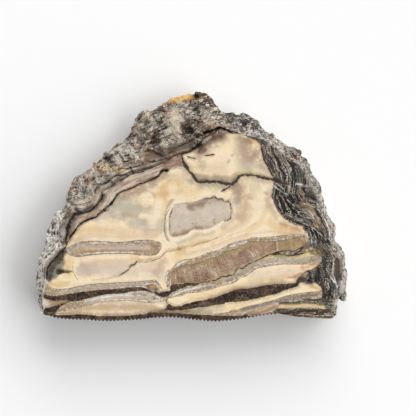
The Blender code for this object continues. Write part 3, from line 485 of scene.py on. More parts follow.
# Soft washes: colour, strength, half width, softness of the edge, and the line they follow
washes = (
    ("greyBeige", 0.9, 4.2, 5, ((-25, 1), (-21, -1), (-17, -3.5), (-13.5, -6))),
    ("greenGrey", 0.5, 2.2, 3, ((-26, -2), (-22, -3), (-19, -1))),
    ("lilac", 0.6, 1.3, 2, ((-32, -4.4), (-29.5, -3.6), (-27, -3.6))),
    ("paleCream", 0.8, 1.6, 2.4, ((-14.4, 2.4), (-13.4, 1.6))),
    ("sand", 0.5, 0.5, 1, ((-15.8, 3.6), (-15.9, 0.8), (-13.4, -0.6), (-11.8, 1.4), (-12.6, 3.8))),
    ("gold", 0.7, 1.6, 2.6, ((-10.4, 5.4), (-9.8, 3))),
    ("gold", 0.5, 0.7, 1.6, ((-9.2, 1), (-10, -1.6), (-10.2, -4))),
    ("paleCream", 0.6, 0.8, 1.4, ((-19.4, 1), (-19, 1.1))),
    ("paleCream", 0.7, 1, 1.6, ((-17, -4), (-15.6, -3.8))),
    ("paleCream", 0.6, 0.9, 1.6, ((-12.4, -4), (-11.6, -4))),
    ("peach", 0.6, 1.6, 3, ((-38, -9.6), (-30, -9), (-22, -9.4), (-14, -9.6))),
    ("mauve", 0.5, 1.1, 2.2, ((-24.6, 2.2), (-20, 4), (-15, 6), (-12, 8), (-9, 9.6))),
    ("mauve", 0.4, 1.6, 3, ((-8.5, 10), (-5, 9), (-3, 9.6))),
    ("sand", 0.5, 2, 3, ((-6, 8), (-3, 6), (0, 4.6))),
    ("tan", 0.5, 1, 2, ((-41, -12.6), (-39, -11.6), (-37, -11))),
    ("lilac", 0.4, 1.4, 2.6, ((-18, -7), (-15.5, -8))),
    ("peach", 0.7, 1.6, 2.6, ((17.6, 3), (18.2, 0), (17.6, -3), (16, -5.6))),
    ("orange", 0.55, 0.7, 1.2, ((18.8, 2.1), (19.3, 2.1))),
    ("orange", 0.5, 0.4, 1, ((24, 3.9), (24.6, 3.8))),
    ("orange", 0.5, 0.5, 1, ((26, 0.6), (26, 0.3))),
    ("paleCream", 0.9, 0.9, 1.6, ((22.6, 2.4), (22.3, -1), (21.4, -4), (18.6, -6.6), (14, -8.8),
                                  (10, -10.4))),
    ("sand", 0.5, 0.8, 1.6, ((24.4, 1), (24, -2.6), (22.6, -5.4), (20, -8))),
    ("mauve", 0.55, 1.4, 3, ((14, 6.6), (15, 5), (15.2, 3))),
    ("greyBeige", 0.5, 1.8, 3, ((21, 7), (20, 5), (20, 3))),
    ("gold", 0.55, 1.4, 3, ((26, -6), (30, -8), (35, -8.8))),
    ("orange", 0.5, 0.8, 1.6, ((30, -7.4), (33, -8), (36, -8.2))),
    ("lilac", 0.6, 0.7, 1.4, ((12.7, 1.9), (14, 0.6), (14.8, -1), (14.9, -3), (14, -4.6), (12, -6.1),
                              (10, -7.4))),
    ("greyBeige", 0.8, 0.6, 1, ((-5, -12.6), (-3.6, -12), (-1, -11.4), (0, -10.8), (1, -9.9),
                                (3, -9.8), (5, -9.9), (7, -9))),
    ("sand", 0.6, 0.5, 1, ((-3, -14), (2, -12), (6, -11), (11, -8.8), (15, -6.6))),
    ("sand", 0.5, 1.2, 2, ((-4.5, -14.6), (-3, -15.4))),
    ("rust", 0.4, 0.5, 1, ((-4.7, -14.6), (-4.3, -14.7))),
    ("gold", 0.6, 0.8, 1.6, ((-42, -15.9), (-39, -15.3), (-38, -15))),
    ("lilac", 0.8, 0.6, 1, ((-41.4, -14.6), (-39.6, -13.6), (-37.8, -13.2))),
    ("lilac", 0.4, 2.6, 3.6, ((-36, -20.8), (-31, -20.6), (-25, -20.6), (-21, -22))),
    ("orange", 0.35, 0.6, 1.4, ((-42.8, -19), (-42.6, -21.4))),
    ("lilac", 0.5, 2.2, 1.2, ((-37, -21.8), (-33, -21.4))),
    ("gold", 0.6, 1.2, 2.4, ((-41.6, -18.4), (-41.4, -20.6), (-41.8, -22.2))),
    ("gold", 0.5, 1, 2.4, ((-48.6, -26), (-47.6, -26.4))),
    ("paleCream", 0.6, 0.9, 1.6, ((-44, -26.6), (-36, -25.6), (-28, -24.8))),
    ("pink", 0.7, 2.4, 4, ((-17, -21.6), (-12, -21.4), (-10.4, -23.6))),
    ("tan", 0.5, 1, 2, ((-12.6, -23), (-11, -21), (-10, -18.8))),
    ("paleCream", 0.7, 0.8, 1.6, ((-36, -18), (-28, -17.4), (-20, -17.4))),
    ("sand", 0.5, 0.5, 1, ((-35, -18.8), (-26, -18.4), (-20, -18.4))),
    ("pink", 0.6, 1.4, 2.4, ((20, -24), (26, -23.4), (32, -23), (36, -22.5))),
    ("orange", 0.8, 0.5, 1, ((31.6, -24.1), (33.6, -23.8), (35.6, -22.9))),
    ("orange", 0.7, 0.6, 1.2, ((36.6, -21), (39, -20.4), (41.4, -19.6))),
    ("orange", 0.8, 0.5, 1, ((39.6, -27), (41, -27.5), (42.2, -28.2))),
    ("gold", 0.5, 0.8, 1.6, ((-42, -35.8), (-36, -34.9), (-30, -34.2))),
    ("peach", 0.6, 1, 2, ((-30, -35.4), (-22, -35), (-14, -34.4))),
    ("olive", 0.5, 0.5, 1.2, ((-44, -36.1), (-40, -35.5), (-36, -35))),
    ("rust", 0.5, 0.5, 1, ((-28.7, -36.2), (-28.7, -36.6))),
    ("olive", 0.85, 0.5, 0.8, ((-14, -35.5), (-8, -35.6), (-2, -35.6), (3, -35.2))),
    ("umber", 0.6, 0.6, 1.4, ((-4, -35.4), (2, -35.6), (6, -35.4))),
    ("greenGrey", 0.6, 0.9, 2, ((0, -35.2), (5, -34.9), (10, -34.4))),
    # The island at the top
    ("paleCream", 0.5, 2, 4, ((8.6, 18), (9.6, 14), (11, 11))),
    ("peach", 0.6, 2, 4, ((2.6, 13), (6, 12.4), (9, 12))),
    ("mauve", 0.75, 2.2, 4, ((17, 19.4), (17.8, 17), (18.4, 15.4))),
    ("greyBeige", 0.8, 1.8, 3, ((17.6, 13.4), (20, 13.2), (21.6, 13))),
    # Painted shade where the island's top-left edge falls away
    ("roseBrown", 0.7, 1.4, 2.4, ((4.4, 20.6), (6, 21.2), (7.4, 21.4))),
    ("umber", 0.7, 0.9, 1.8, ((6.4, 23.4), (8.4, 24), (11, 24.6))),
    ("orange", 0.55, 0.7, 1.2, ((18.6, 21.4), (20.4, 20.8), (21.8, 20.2))),
    ("olive", 0.45, 0.8, 1.6, ((15, 21.9), (17, 21.5), (19, 21))),
    ("roseBrown", 0.35, 1.6, 3, ((20.4, 18.4), (21, 16.4))),
    ("umber", 0.55, 0.8, 1.6, ((2, 8.8), (5, 9), (9, 8.6))),
    ("greenGrey", 0.7, 0.9, 1.8, ((2.4, 6.2), (6, 6.4), (10, 6))),
    ("tealGrey", 0.6, 0.6, 1.2, ((-1.4, 8.4), (-0.6, 7.6))),
    ("roseBrown", 0.35, 0.9, 1.8, ((2, 15.2), (3, 14), (3, 12))),
    ("umber", 0.6, 0.3, 0.6, ((13.2, 16.7), (13.1, 16.4))),
    ("umber", 0.5, 0.25, 0.6, ((12.2, 15), (11.9, 14.2), (11.5, 13.9))),
    ("peach", 0.6, 1, 1.8, ((18, -2), (17, -6), (12, -8.6))),
    ("roseBrown", 0.5, 1, 2.2, ((-24.5, 2.6), (-20, 4.4), (-15.5, 6.4), (-12, 8.4), (-8.5, 9.8))),
    ("gold", 0.8, 1.3, 2, ((-10.4, 5.8), (-9.4, 4.6))),
    ("gold", 0.5, 0.8, 1.8, ((-6, 8), (-4.6, 6.4), (-4.6, 4.4))),
    ("paleCream", 0.7, 1.4, 1.4, ((-16.4, 2.2), (-15.4, 1.8))),
    ("tan", 0.55, 0.25, 0.7, ((-19, 0.6), (-18.6, 2.8), (-17, 4.4), (-14.4, 4.4), (-12.8, 2.6), (-13.2, 0),
                              (-15.6, -1.2), (-18, -0.8), (-19, 0.6))),
    ("paleCream", 0.8, 1.3, 2, ((-11.6, 0.6), (-12.2, -3), (-13.2, -6.4))),
    ("gold", 0.7, 0.4, 0.8, ((-21.5, -2.4), (-20.6, -2.9))),
    ("greenGrey", 0.6, 1.6, 2.4, ((-28, 0.4), (-25, 0.6), (-21, -0.6))),
    ("mauve", 0.55, 0.6, 1.4, ((-23, -3.4), (-19.6, -3.6), (-16.4, -5.2))),
    ("paleCream", 0.9, 0.7, 1.2, ((-17.6, -3.7), (-14, -3.7))),
    ("gold", 0.5, 0.8, 1.8, ((-38, -8.4), (-33, -7.8), (-27, -8.6))),
    ("peach", 0.7, 0.6, 1.2, ((-37, -10.6), (-28, -10.4), (-18, -10.6), (-12, -10.4))),
    ("sandGrey", 0.85, 0.45, 0.5, ((-6.8, 1.8), (-8.4, -0.4), (-9.2, -3), (-9.4, -6), (-9.2, -9),
                                   (-8.2, -11.6))),
    ("tan", 0.7, 0.4, 0.9, ((-18, -18.4), (-14, -18.2), (-10.4, -16.9), (-8.6, -15.2), (-4.4, -14.5),
                            (0, -13.4), (5, -11.8))),
    ("roseBrown", 0.8, 0.35, 0.6, ((-4.8, -14.6), (-4.3, -14.7))),
    ("gold", 0.7, 0.7, 1.2, ((-5, -16), (-2.8, -15.6))),
    ("gold", 0.6, 0.6, 1.2, ((-20.6, -17.4), (-18.4, -17.8))),
    ("gold", 0.8, 0.9, 1.2, ((-48, -26.2), (-46, -26.6), (-42, -26.4))),
    ("tan", 0.6, 0.35, 0.9, ((-33, -25), (-29, -24.6), (-25.6, -23.6), (-22.4, -22))),
    ("mauve", 0.2, 1.4, 1.4, ((-36.4, -20.4), (-35.8, -21.4))),
    ("pink", 0.5, 2.2, 2.2, ((-32, -21.4), (-26, -21.2), (-22.6, -20))),
    # The island's shaded edges
    ("mauve", 0.65, 2, 3, ((2.6, 17.6), (4.6, 19.6), (7.4, 21.4), (10.4, 22.6))),
    ("roseBrown", 0.7, 1.2, 1.8, ((2.6, 18), (4.8, 20.2), (7.6, 22), (10, 22.8))),
    ("umber", 0.6, 0.5, 1, ((1.6, 18.8), (4, 21.6), (7.2, 23.4), (10, 23.8))),
    ("mauve", 0.6, 0.7, 1.6, ((1.6, 9.8), (6, 9.4), (10, 9), (12.8, 8.8), (14.6, 9.8))),
    ("mauve", 0.5, 1.6, 2.6, ((17.4, 20), (18.4, 16.8), (18.8, 15.4))),
    ("greyBeige", 0.6, 1, 1.6, ((14.4, 22), (14.8, 16), (15.4, 12))),
    ("olive", 0.4, 0.6, 1.4, ((15.6, 22.6), (19, 21.2))),
    ("umber", 0.85, 0.5, 0.8, ((-3.8, 16), (-2.4, 13), (-0.6, 10.6), (1, 8.4))),
    ("darkBrown", 0.6, 0.4, 0.8, ((1.4, 8), (5, 8.2), (9, 8), (12.4, 7.4), (14, 8.6), (16, 10.2))),
    ("umber", 0.5, 0.4, 0.8, ((16, 10.3), (20, 10.4), (24, 9.4), (28, 8.6))),
    ("roseBrown", 0.5, 0.8, 1.6, ((21.4, 17), (22.6, 14), (24.6, 11))),
    ("tan", 0.5, 0.2, 0.5, ((-4, -16.6), (2, -15.2), (8, -13.2), (14, -10.8), (20, -9.6), (27, -8.8))),
    ("tan", 0.4, 0.2, 0.5, ((6, -12.8), (12, -10.4), (17, -8.4), (21, -6))),
    ("peach", 0.6, 0.6, 1, ((-2, -16.4), (6, -14.6), (13, -12), (20, -10.8))),
    ("peach", 0.9, 1, 1.6, ((-36, -34.6), (-28, -33.8), (-20, -34), (-14, -34.4))),
    ("tan", 0.5, 0.3, 0.6, ((-38, -33.4), (-30, -32.4), (-22, -32.6), (-14, -32.6), (-9.6, -32.8))),
    # The field right of the oval
    ("tan", 0.5, 1.2, 2.2, ((16.4, 6.6), (17.4, 3.4), (17.4, -1), (16, -4.8))),
    ("roseBrown", 0.45, 0.9, 2, ((25.4, 5), (25.6, 0), (27.6, -4))),
    ("roseBrown", 0.5, 0.7, 1.6, ((29.4, -6), (33, -7.4), (36, -8.6))),
    ("olive", 0.95, 0.9, 0.6, ((27.6, -16.5), (31, -16.7), (35, -16.2), (37.4, -15), (39.4, -14.4))),
    ("darkBrown", 0.9, 0.4, 0.4, ((26.6, -16.3), (30.2, -16), (32, -16), (34, -16), (37.6, -14.4))),
    ("roseBrown", 0.5, 1.4, 2.4, ((13.4, 6.4), (14.6, 5), (15, 2.6))),
    ("peach", 0.7, 1, 2, ((29, -8.6), (34, -9.6), (37, -9.4))),
    ("orange", 0.45, 0.8, 1.8, ((27, -9.2), (31, -9.6), (35, -9.8))),
    ("tan", 0.95, 1, 0.8, ((-49, -32.7), (-46, -32.5), (-43, -32.3))),
    ("umber", 0.4, 0.3, 0.8, ((-48.6, -33.4), (-45, -33.2), (-42.6, -32.6))),
    ("peach", 0.8, 1.2, 1.8, ((-38, -35), (-30, -34), (-22, -34), (-14, -34.4))),
    ("tan", 0.6, 0.5, 1.2, ((-42, -36), (-34, -36.2), (-24, -36.2), (-17, -35.8))),
    ("sand", 0.7, 0.9, 1.4, ((2, -31.4), (8, -29.4), (16, -26.8), (24, -24.8), (32, -23.6))),
    ("tan", 0.55, 0.8, 1.4, ((6, -31), (14, -28.2), (22, -26.6), (30, -25.6))),
    ("gapGreen", 0.95, 1.8, 1, ((-46.8, -23), (-45.6, -21.4), (-44.6, -19.4))),
    # Painted shade: the pit colour along the crack at the left end and the black wedge that runs right from
    # it darken the hollow
    ("pit", 0.95, 1.5, 1, ((-48.4, -24.4), (-47.8, -21.6), (-46, -19.2), (-44.4, -17.2), (-43.6, -15.8))),
    ("black", 0.95, 0.95, 0.4, ((-44.8, -22.2), (-43.8, -22.2))),
    ("black", 0.95, 0.65, 0.4, ((-43.8, -22.2), (-42.6, -22.2))),
    ("black", 0.95, 0.42, 0.35, ((-42.6, -22.2), (-41.4, -22.2))),
    ("black", 0.95, 0.22, 0.3, ((-41.4, -22.2), (-40.4, -22.2))),
    # The strip between the cracks, and the dark gap below it
    ("slate", 0.7, 0.7, 1.2, ((-41, -9.6), (-39.6, -5.4), (-37.6, -3.6))),
    ("rust", 0.5, 0.4, 0.8, ((-38.4, -6.2), (-37, -4.8), (-35.8, -4.2))),
    ("pink", 0.5, 0.5, 1, ((-38, -7.2), (-35.6, -5.4), (-32.8, -4.2))),
    ("slate", 0.5, 0.6, 1.4, ((-31, -1.2), (-29.4, 2), (-28.2, 4.4), (-24, 7.6))),
    ("pink", 0.45, 0.6, 1.2, ((-28, 1.6), (-26, 4.4), (-22.6, 6.2))),
    ("roseBrown", 0.6, 0.7, 1.2, ((-23, 7.2), (-19, 9), (-16, 10))),
    ("pink", 0.5, 0.5, 1, ((-20.6, 8.6), (-17.6, 9.6), (-14, 11.4))),
    ("slate", 0.5, 0.4, 0.9, ((-18, 8.2), (-14, 9.8), (-12, 11.2))),
    ("roseBrown", 0.95, 1.5, 1.2, ((-8.8, 13.2), (-6.6, 13.8), (-4.8, 14.2))),
    # The dark zone on the right
    ("slate", 0.8, 0.8, 1, ((23.8, 18.6), (24.6, 15.6), (26.2, 12.2), (28, 9.8))),
    ("greenGrey", 0.75, 0.35, 0.5, ((24.2, 14.6), (24.9, 12.6))),
    ("greenGrey", 0.75, 0.4, 0.6, ((26.3, 11.8), (27.1, 10.2))),
    ("black", 0.8, 0.9, 1, ((27.6, 18), (28, 15), (29.2, 11.4))),
    ("paleStone", 0.95, 0.5, 0.4, ((32.1, 11.8), (32.3, 9.4))),
    ("darkGrey", 0.8, 1.8, 1.4, ((34.6, 10.4), (37, 8.8))),
    ("paleStone", 0.9, 0.35, 0.4, ((34.4, 7.1), (36.6, 6.8))),
    ("paleStone", 0.8, 0.35, 0.4, ((35.6, 6.1), (37.2, 6.3), (39.2, 6))),
    ("slate", 0.9, 1.2, 0.6, ((38.6, 4.8), (38.9, 3.2))),
    ("tan", 0.95, 0.35, 0.4, ((36.1, 4.9), (36.6, 3.8), (36.9, 2.6))),
    ("darkBrown", 0.4, 1.2, 2, ((31, 15.6), (33.6, 13.6))),
    ("tan", 0.7, 0.9, 1.2, ((36.4, 0.4), (38.4, -1.2), (39.6, -3))),
    ("roseBrown", 0.7, 1.2, 1.8, ((39.6, -3.6), (41.6, -5), (42.6, -7))),
    ("orange", 0.8, 0.4, 0.6, ((40.3, -6.6), (40.8, -7))),
    ("pink", 0.8, 0.4, 0.7, ((41.6, -4.2), (42.3, -4.8))),
    ("greenGrey", 0.6, 0.8, 1.2, ((37.8, -2), (39, -3.2))),
    ("black", 0.9, 0.5, 0.5, ((33, -2.6), (33.5, -3.4))),
    ("black", 0.9, 0.5, 0.5, ((37.2, -7.8), (37.7, -8.2))),
    ("blueGrey", 0.95, 0.45, 0.4, ((39.1, -12.1), (40.9, -12.3))),
    ("tealGrey", 0.7, 0.5, 0.8, ((37.2, -10.6), (38.2, -12.6))),
    ("tealGrey", 0.6, 0.6, 0.9, ((43.8, -14.2), (44.3, -15))),
    ("olive", 0.95, 1.5, 1, ((38.2, -14.4), (40.6, -15.4), (42.4, -16))),
    ("darkGrey", 0.7, 0.6, 0.8, ((38.6, -13.4), (40, -13.8), (42, -14))),
    ("yellowGreen", 0.5, 0.4, 0.7, ((40.2, -15.4), (41.2, -16.2))),
    ("black", 0.4, 1.2, 1, ((38.4, -14.4), (40.8, -15), (42.4, -15.4))),
    ("blueGrey", 0.6, 0.6, 0.9, ((41.4, -18), (42.8, -18.2))),
    ("slate", 0.85, 1.2, 0.8, ((48.2, -18.6), (48.4, -21.6), (47.9, -24.6))),
    ("tan", 0.8, 0.4, 0.5, ((46.9, -20.4), (46.9, -22.6), (47.6, -25.4))),
    ("sand", 0.95, 0.6, 0.5, ((28.6, -34), (33, -33.8), (37, -33.6), (41, -33.9), (43.6, -34.2))),
    ("olive", 0.8, 0.3, 0.6, ((28.6, -33), (33, -32.9), (37, -32.8), (41, -33), (43.6, -33.2))),
    ("darkBrown", 0.9, 0.7, 0.8, ((28, -35.4), (34, -35.4), (40, -35.6), (45, -35.6))),
    ("rust", 0.6, 0.4, 0.8, ((34, -36.5), (39, -36.6))),
    ("olive", 0.85, 0.7, 0.8, ((40, -37), (43, -37.2), (46, -37))),
    ("pink", 0.6, 0.4, 0.7, ((46.2, -36.6), (46.8, -37))),
    # Bark on the left
    # The white and the pale stone below give the left bark its pale colour and also lighten it as painted
    # light, since it faces away from the suns
    ("white", 0.75, 3, 2.4, ((-51, -34), (-51.4, -26), (-50.6, -18), (-47.6, -11))),
    ("pink", 0.5, 1, 2, ((-50.6, -30), (-50.8, -22), (-46, -12))),
    ("rust", 0.6, 0.4, 0.8, ((-48.4, -7.4), (-47.6, -9.4), (-47, -11))),
    ("tan", 0.5, 0.7, 1.4, ((-50.4, -32.2), (-49.8, -33.6))),
    ("paleStone", 0.8, 1.6, 1.6, ((-46, -3.6), (-44.8, -8), (-44.8, -13), (-47.4, -17.4))),
    ("crest", 0.8, 1.5, 2, ((-40, -0.6), (-37, 0.4), (-34, 1.8))),
    ("pink", 0.7, 0.8, 1.2, ((-36, -0.2), (-33.4, 1.6), (-31.6, 4))),
    # Painted shade: black in two small pits of the bark, and a black dot further right
    ("black", 0.9, 0.4, 0.6, ((-40.9, 0.3), (-40.6, 0.3))),
    ("black", 0.9, 0.4, 0.6, ((-39.4, -1.5), (-39, -1.6))),
    ("black", 0.8, 0.3, 0.6, ((-34.5, 3.2), (-34.2, 3.2))),
    ("sand", 0.6, 0.5, 1, ((-34.6, 10), (-35, 6))),
    ("sand", 0.7, 0.8, 1.4, ((-33, 13.2), (-29, 12.8), (-26, 12))),
    ("paleStone", 0.8, 0.8, 1.4, ((-27.2, 17.2), (-24.5, 15.8))),
    ("gold", 0.6, 0.5, 1, ((-25.4, 13.5), (-25, 13.3))),
    ("gold", 0.5, 0.5, 1, ((-29.5, 12.7), (-29, 12.6))),
    ("slate", 0.9, 0.7, 1, ((-29.5, 15.8), (-28.4, 15.3), (-26.8, 14.6))),
    ("tan", 0.7, 0.4, 0.8, ((-34, 4), (-31, 5.2), (-29.5, 5.8))),
    ("gold", 0.9, 0.5, 0.5, ((-23.6, 11.7), (-22.4, 11.4))),
    ("orange", 0.95, 0.4, 0.5, ((-25.4, 10.4), (-23.6, 11))),
    ("paleStone", 0.7, 1.2, 1.8, ((-24, 17), (-20.5, 19))),
    # Bark at the top
    # Painted shade: the dark hollow colour laid in the bark's pits and hollows
    ("hollow", 0.95, 0.9, 0.8, ((-18.3, 21.6), (-17.5, 21.2))),
    ("hollow", 0.6, 0.7, 0.9, ((-15.5, 21.6), (-11.4, 21.6))),
    ("hollow", 0.8, 0.6, 1, ((-17.5, 19), (-17.1, 18.6))),
    ("tan", 0.8, 1, 1.2, ((-17, 15.8), (-15.2, 18.6))),
    ("roseBrown", 0.7, 2, 2.4, ((-13, 17.4), (-9, 18), (-5.6, 19.4))),
    ("roseBrown", 0.6, 1.4, 2.4, ((-18.6, 25), (-17.4, 28), (-16.4, 30.6))),
    # Painted shade: more of the hollow colour in small pits
    ("hollow", 0.7, 0.5, 0.9, ((-15.6, 28), (-15.3, 28))),
    ("hollow", 0.7, 0.4, 0.8, ((-16.6, 26.8), (-16.3, 26.7))),
    ("hollow", 0.7, 0.4, 0.8, ((-11.8, 26.1), (-11.5, 26))),
    ("paleStone", 0.8, 1, 1.6, ((-13.6, 28.6), (-12.2, 29.4))),
    ("crest", 0.65, 2.6, 3.4, ((-6, 31.4), (-6, 26), (-5.6, 22.6))),
    ("rust", 0.4, 0.5, 1.2, ((-9.4, 26.8), (-9.1, 26.6))),
    ("darkBrown", 0.95, 2.8, 3, ((-2, 26), (-0.8, 23), (1.6, 21), (4, 22.6), (7, 24))),
    ("soot", 0.7, 1.6, 2, ((-12, 17), (-8, 17.6), (-4, 19), (-1, 20))),
    ("umber", 0.7, 1, 1.4, ((1, 27.4), (3, 26), (5, 26), (8, 26.6))),
    ("peach", 0.7, 0.7, 1, ((4, 28), (6.4, 27.6))),
    ("peach", 0.5, 0.6, 1, ((9.6, 27), (11.6, 26.4))),
    ("pink", 0.5, 0.8, 1.6, ((2.2, 30.2), (4, 31))),
    ("greenGrey", 0.6, 0.9, 1.6, ((2.4, 33), (5.6, 33.6))),
    ("darkBrown", 0.95, 2.4, 1.4, ((2.4, 36.8), (4.6, 35.8), (6.4, 34.2), (8, 32))),
    ("orange", 0.7, 0.4, 0.7, ((2.7, 36.3), (2.4, 35.2))),
    ("rust", 0.7, 0.4, 0.8, ((0.2, 36.8), (0.7, 36.2))),
    ("slate", 0.6, 2.2, 2.6, ((9, 29), (14, 28.6), (19, 27), (22.4, 25))),
    # Painted shade: black in a small pit
    ("black", 0.9, 0.4, 0.5, ((16.9, 26.9), (17.3, 26.7))),
    ("roseBrown", 0.5, 0.5, 1, ((17, 28.8), (20, 29.4))),
    ("paleStone", 0.7, 0.7, 1.2, ((19.6, 28), (22.4, 26.8))),
    ("crest", 0.6, 1, 1.4, ((25, 24), (27.4, 22.8))),
    ("crest", 0.9, 1.5, 1.4, ((26.8, 21.4), (29.4, 19.6), (31, 18.4))),
    ("greenGrey", 0.5, 1, 2, ((28.6, 18), (31.4, 16.8))),
    ("paleStone", 0.6, 1.2, 1.4, ((31, 18.6), (34, 18.4))),
    ("black", 0.8, 0.9, 1, ((34.6, 18.6), (36, 17.4))),
    ("stone", 0.6, 2, 2.4, ((0, 32.6), (4, 31.4), (8, 30))),
    ("soot", 0.5, 1.5, 2, ((-13, 24), (-11, 27), (-12, 30))),
    ("slate", 0.4, 1.4, 2, ((12, 29), (17, 28.4), (21.6, 26), (25, 23))),
    # Bark on the right
    # These washes give the right bark its greys and also darken it as painted shade, since the suns light it
    # from the right
    ("slate", 0.5, 1.4, 2, ((38.6, 13), (40.6, 9), (42.4, 5))),
    ("stone", 0.7, 1.6, 2, ((37, 14.4), (39.4, 9.6), (41.4, 5))),
    ("paleStone", 0.8, 0.8, 1.2, ((42.4, 4), (43.6, 1), (44.6, -2))),
    ("stone", 0.6, 1, 1.6, ((45.4, -5), (47, -8), (47, -11.6))),
    ("stone", 0.9, 2, 1.4, ((49.6, -15.4), (50.8, -19.4), (51.2, -24), (50.8, -29.6))),
    ("pink", 0.4, 0.8, 1.6, ((50.4, -17), (50.8, -27))),
)

